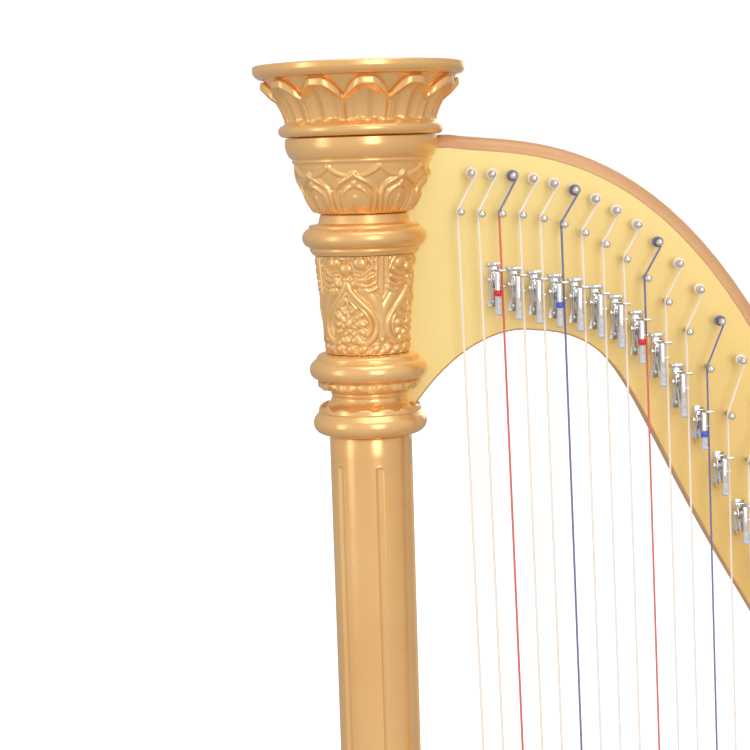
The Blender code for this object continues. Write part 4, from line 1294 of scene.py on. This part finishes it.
def base_slab(name, replaced, low, high, grow, edge, holes=()):
    work = bmesh.new()
    extrude(work, [(x, y, low) for x, y in base_outline(grow)], (0.0, 0.0, high - low))
    bmesh.ops.recalc_face_normals(work, faces=work.faces)
    uprights = [e for e in work.edges if abs(e.verts[0].co.z - e.verts[1].co.z) > 0.001]
    bevel_edges(work, uprights, 0.022, 8)
    for height, size in ((high, edge), (low, 0.001)):
        level = [e for e in work.edges
                 if all(abs(v.co.z - height) < 1e-6 for v in e.verts) and len(e.link_faces) == 2]
        bevel_edges(work, level, size, 6)
    slab = loose_object("slab", finished(work, name))
    cutters = []
    if holes:
        work = bmesh.new()
        for radius, low_z, high_z in holes:
            matrix = Matrix.Translation((0.0, PILLAR_Y, (low_z + high_z) / 2))
            bmesh.ops.create_cone(work, cap_ends=True, segments=32, radius1=radius,
                                  radius2=radius, depth=high_z - low_z, matrix=matrix)
        cutters.append(loose_object("holes", finished(work, "holes")))
        cut(slab, cutters[0])
    add_piece(name, applied(slab, name, *cutters), [gold], (replaced,),
              sharp=30.0)


def build_base():
    base_slab("base_upper_block", "base_block", 0.0500, BASE_TOP, 0.0, 0.010)
    base_slab("base_lower_plinth", "base_plinth", 0.0220, 0.0497, 0.010, 0.009, BOLT_HOLES)


def finish_kept_nodes():
    """Give the CAD nodes that stay visible their own materials."""
    finishes = {"pillar_bolt": steel}
    for node in ("crown_dowel", "inner_string_bar", "brace_lower", "brace_middle", "brace_upper"):
        finishes[node] = bare_wood
    for node in ("front_left", "front_right", "rear_left", "rear_right"):
        finishes["foot_" + node] = rubber
    for node, material in finishes.items():
        for slot in frame["nodes"][node].material_slots:
            slot.material = material


# ---- stage, light and camera -----------------------------------------------------------
CAMERA_PLACE = Vector((0.0201, -1.2314, 1.4959))
CAMERA_PITCH = math.radians(7.1)
CAMERA_YAW = math.radians(0.72)
CAMERA_ROLL = math.radians(1.8)
LENS, SENSOR = 84.5, 36.0
LIGHT_FOCUS = Vector((PILLAR_X + 0.05, 0.0, 1.35))
# name, place from the pillar, size, power
LIGHTS = (("front_box", (0.75, -2.4, 1.95), (0.9, 1.6), 14),
          ("left_box", (-2.2, -1.3, 1.7), (0.7, 1.8), 6),
          ("top_box", (0.3, -0.6, 3.2), (1.6, 1.2), 10),
          ("back_box", (0.8, 2.4, 2.0), (1.6, 1.6), 10))


def build_floor():
    """A bright floor that the camera sees but that adds no light to the harp."""
    work = bmesh.new()
    bmesh.ops.create_grid(work, x_segments=1, y_segments=1, size=15.0)
    floor = loose_object("studio_floor", finished(work, "studio_floor"))
    made = Material("studio_floor", 0.8, Emission_Color=WHITE, Emission_Strength=0.62)
    made.shader(Base_Color=made.mix(made.remap(made.noise(2.0), 0.3, 0.7),
                                    (0.93, 0.93, 0.93, 1), (0.95, 0.95, 0.95, 1)))
    floor.data.materials.append(made.material)
    floor.visible_diffuse = False
    floor.visible_glossy = False


def build_world():
    """White behind the harp; round it, a warm studio that is brighter up and to the front."""
    world = bpy.data.worlds.new("studio")
    bpy.context.scene.world = world
    world.use_nodes = True
    tree = world.node_tree
    seen = tree.nodes["Background"]
    fill(tree, seen, {"Color": WHITE, "Strength": 1.1})
    toward = add_node(tree, "VectorMath")
    toward.operation = "DOT_PRODUCT"
    feed(tree, toward.inputs[0], add_node(tree, "TexCoord").outputs["Generated"])
    feed(tree, toward.inputs[1], (-0.15, -0.75, 0.65))
    fall = add_node(tree, "MapRange", Value=toward.outputs["Value"], From_Min=-0.8,
                    From_Max=0.8, To_Min=0.46, To_Max=0.84)
    around = add_node(tree, "Background", Color=(1.0, 0.96, 0.92, 1.0),
                      Strength=fall.outputs["Result"])
    mixer = add_node(tree, "MixShader",
                     Fac=add_node(tree, "LightPath").outputs["Is Camera Ray"])
    feed(tree, mixer.inputs[1], around.outputs["Background"])
    feed(tree, mixer.inputs[2], seen.outputs["Background"])
    feed(tree, tree.nodes["World Output"].inputs["Surface"], mixer.outputs["Shader"])


def build_lights():
    for name, place, size, power in LIGHTS:
        data = bpy.data.lights.new(name, "AREA")
        data.shape = "RECTANGLE"
        data.size, data.size_y = size
        data.energy = power
        item = loose_object(name, data)
        item.location = Vector(place) + Vector((PILLAR_X, 0.0, 0.0))
        aim = LIGHT_FOCUS - item.location
        item.rotation_euler = aim.to_track_quat("-Z", "Y").to_euler()


def build_camera():
    data = bpy.data.cameras.new("camera")
    data.lens, data.sensor_width = LENS, SENSOR
    camera = loose_object("camera", data)
    forward = Vector((-math.sin(CAMERA_YAW) * math.cos(CAMERA_PITCH),
                      math.cos(CAMERA_YAW) * math.cos(CAMERA_PITCH), -math.sin(CAMERA_PITCH)))
    right = forward.cross(Vector((0, 0, 1))).normalized()
    up = right.cross(forward)
    c, s = math.cos(CAMERA_ROLL), math.sin(CAMERA_ROLL)
    turn = Matrix((right * c - up * s, right * s + up * c, -forward)).transposed()
    camera.matrix_world = Matrix.Translation(CAMERA_PLACE + Vector((PILLAR_X, 0, 0))) \
        @ turn.to_4x4()
    bpy.context.scene.camera = camera


build_camera()
build_floor()
build_world()
build_lights()
bpy.context.scene.view_settings.view_transform = "Standard"
build_pillar()
build_neck()
build_pins()
build_strings()
build_levers()
build_shell()
build_port_rims()
build_board()
build_eyelets()
build_cap()
build_base()
finish_kept_nodes()
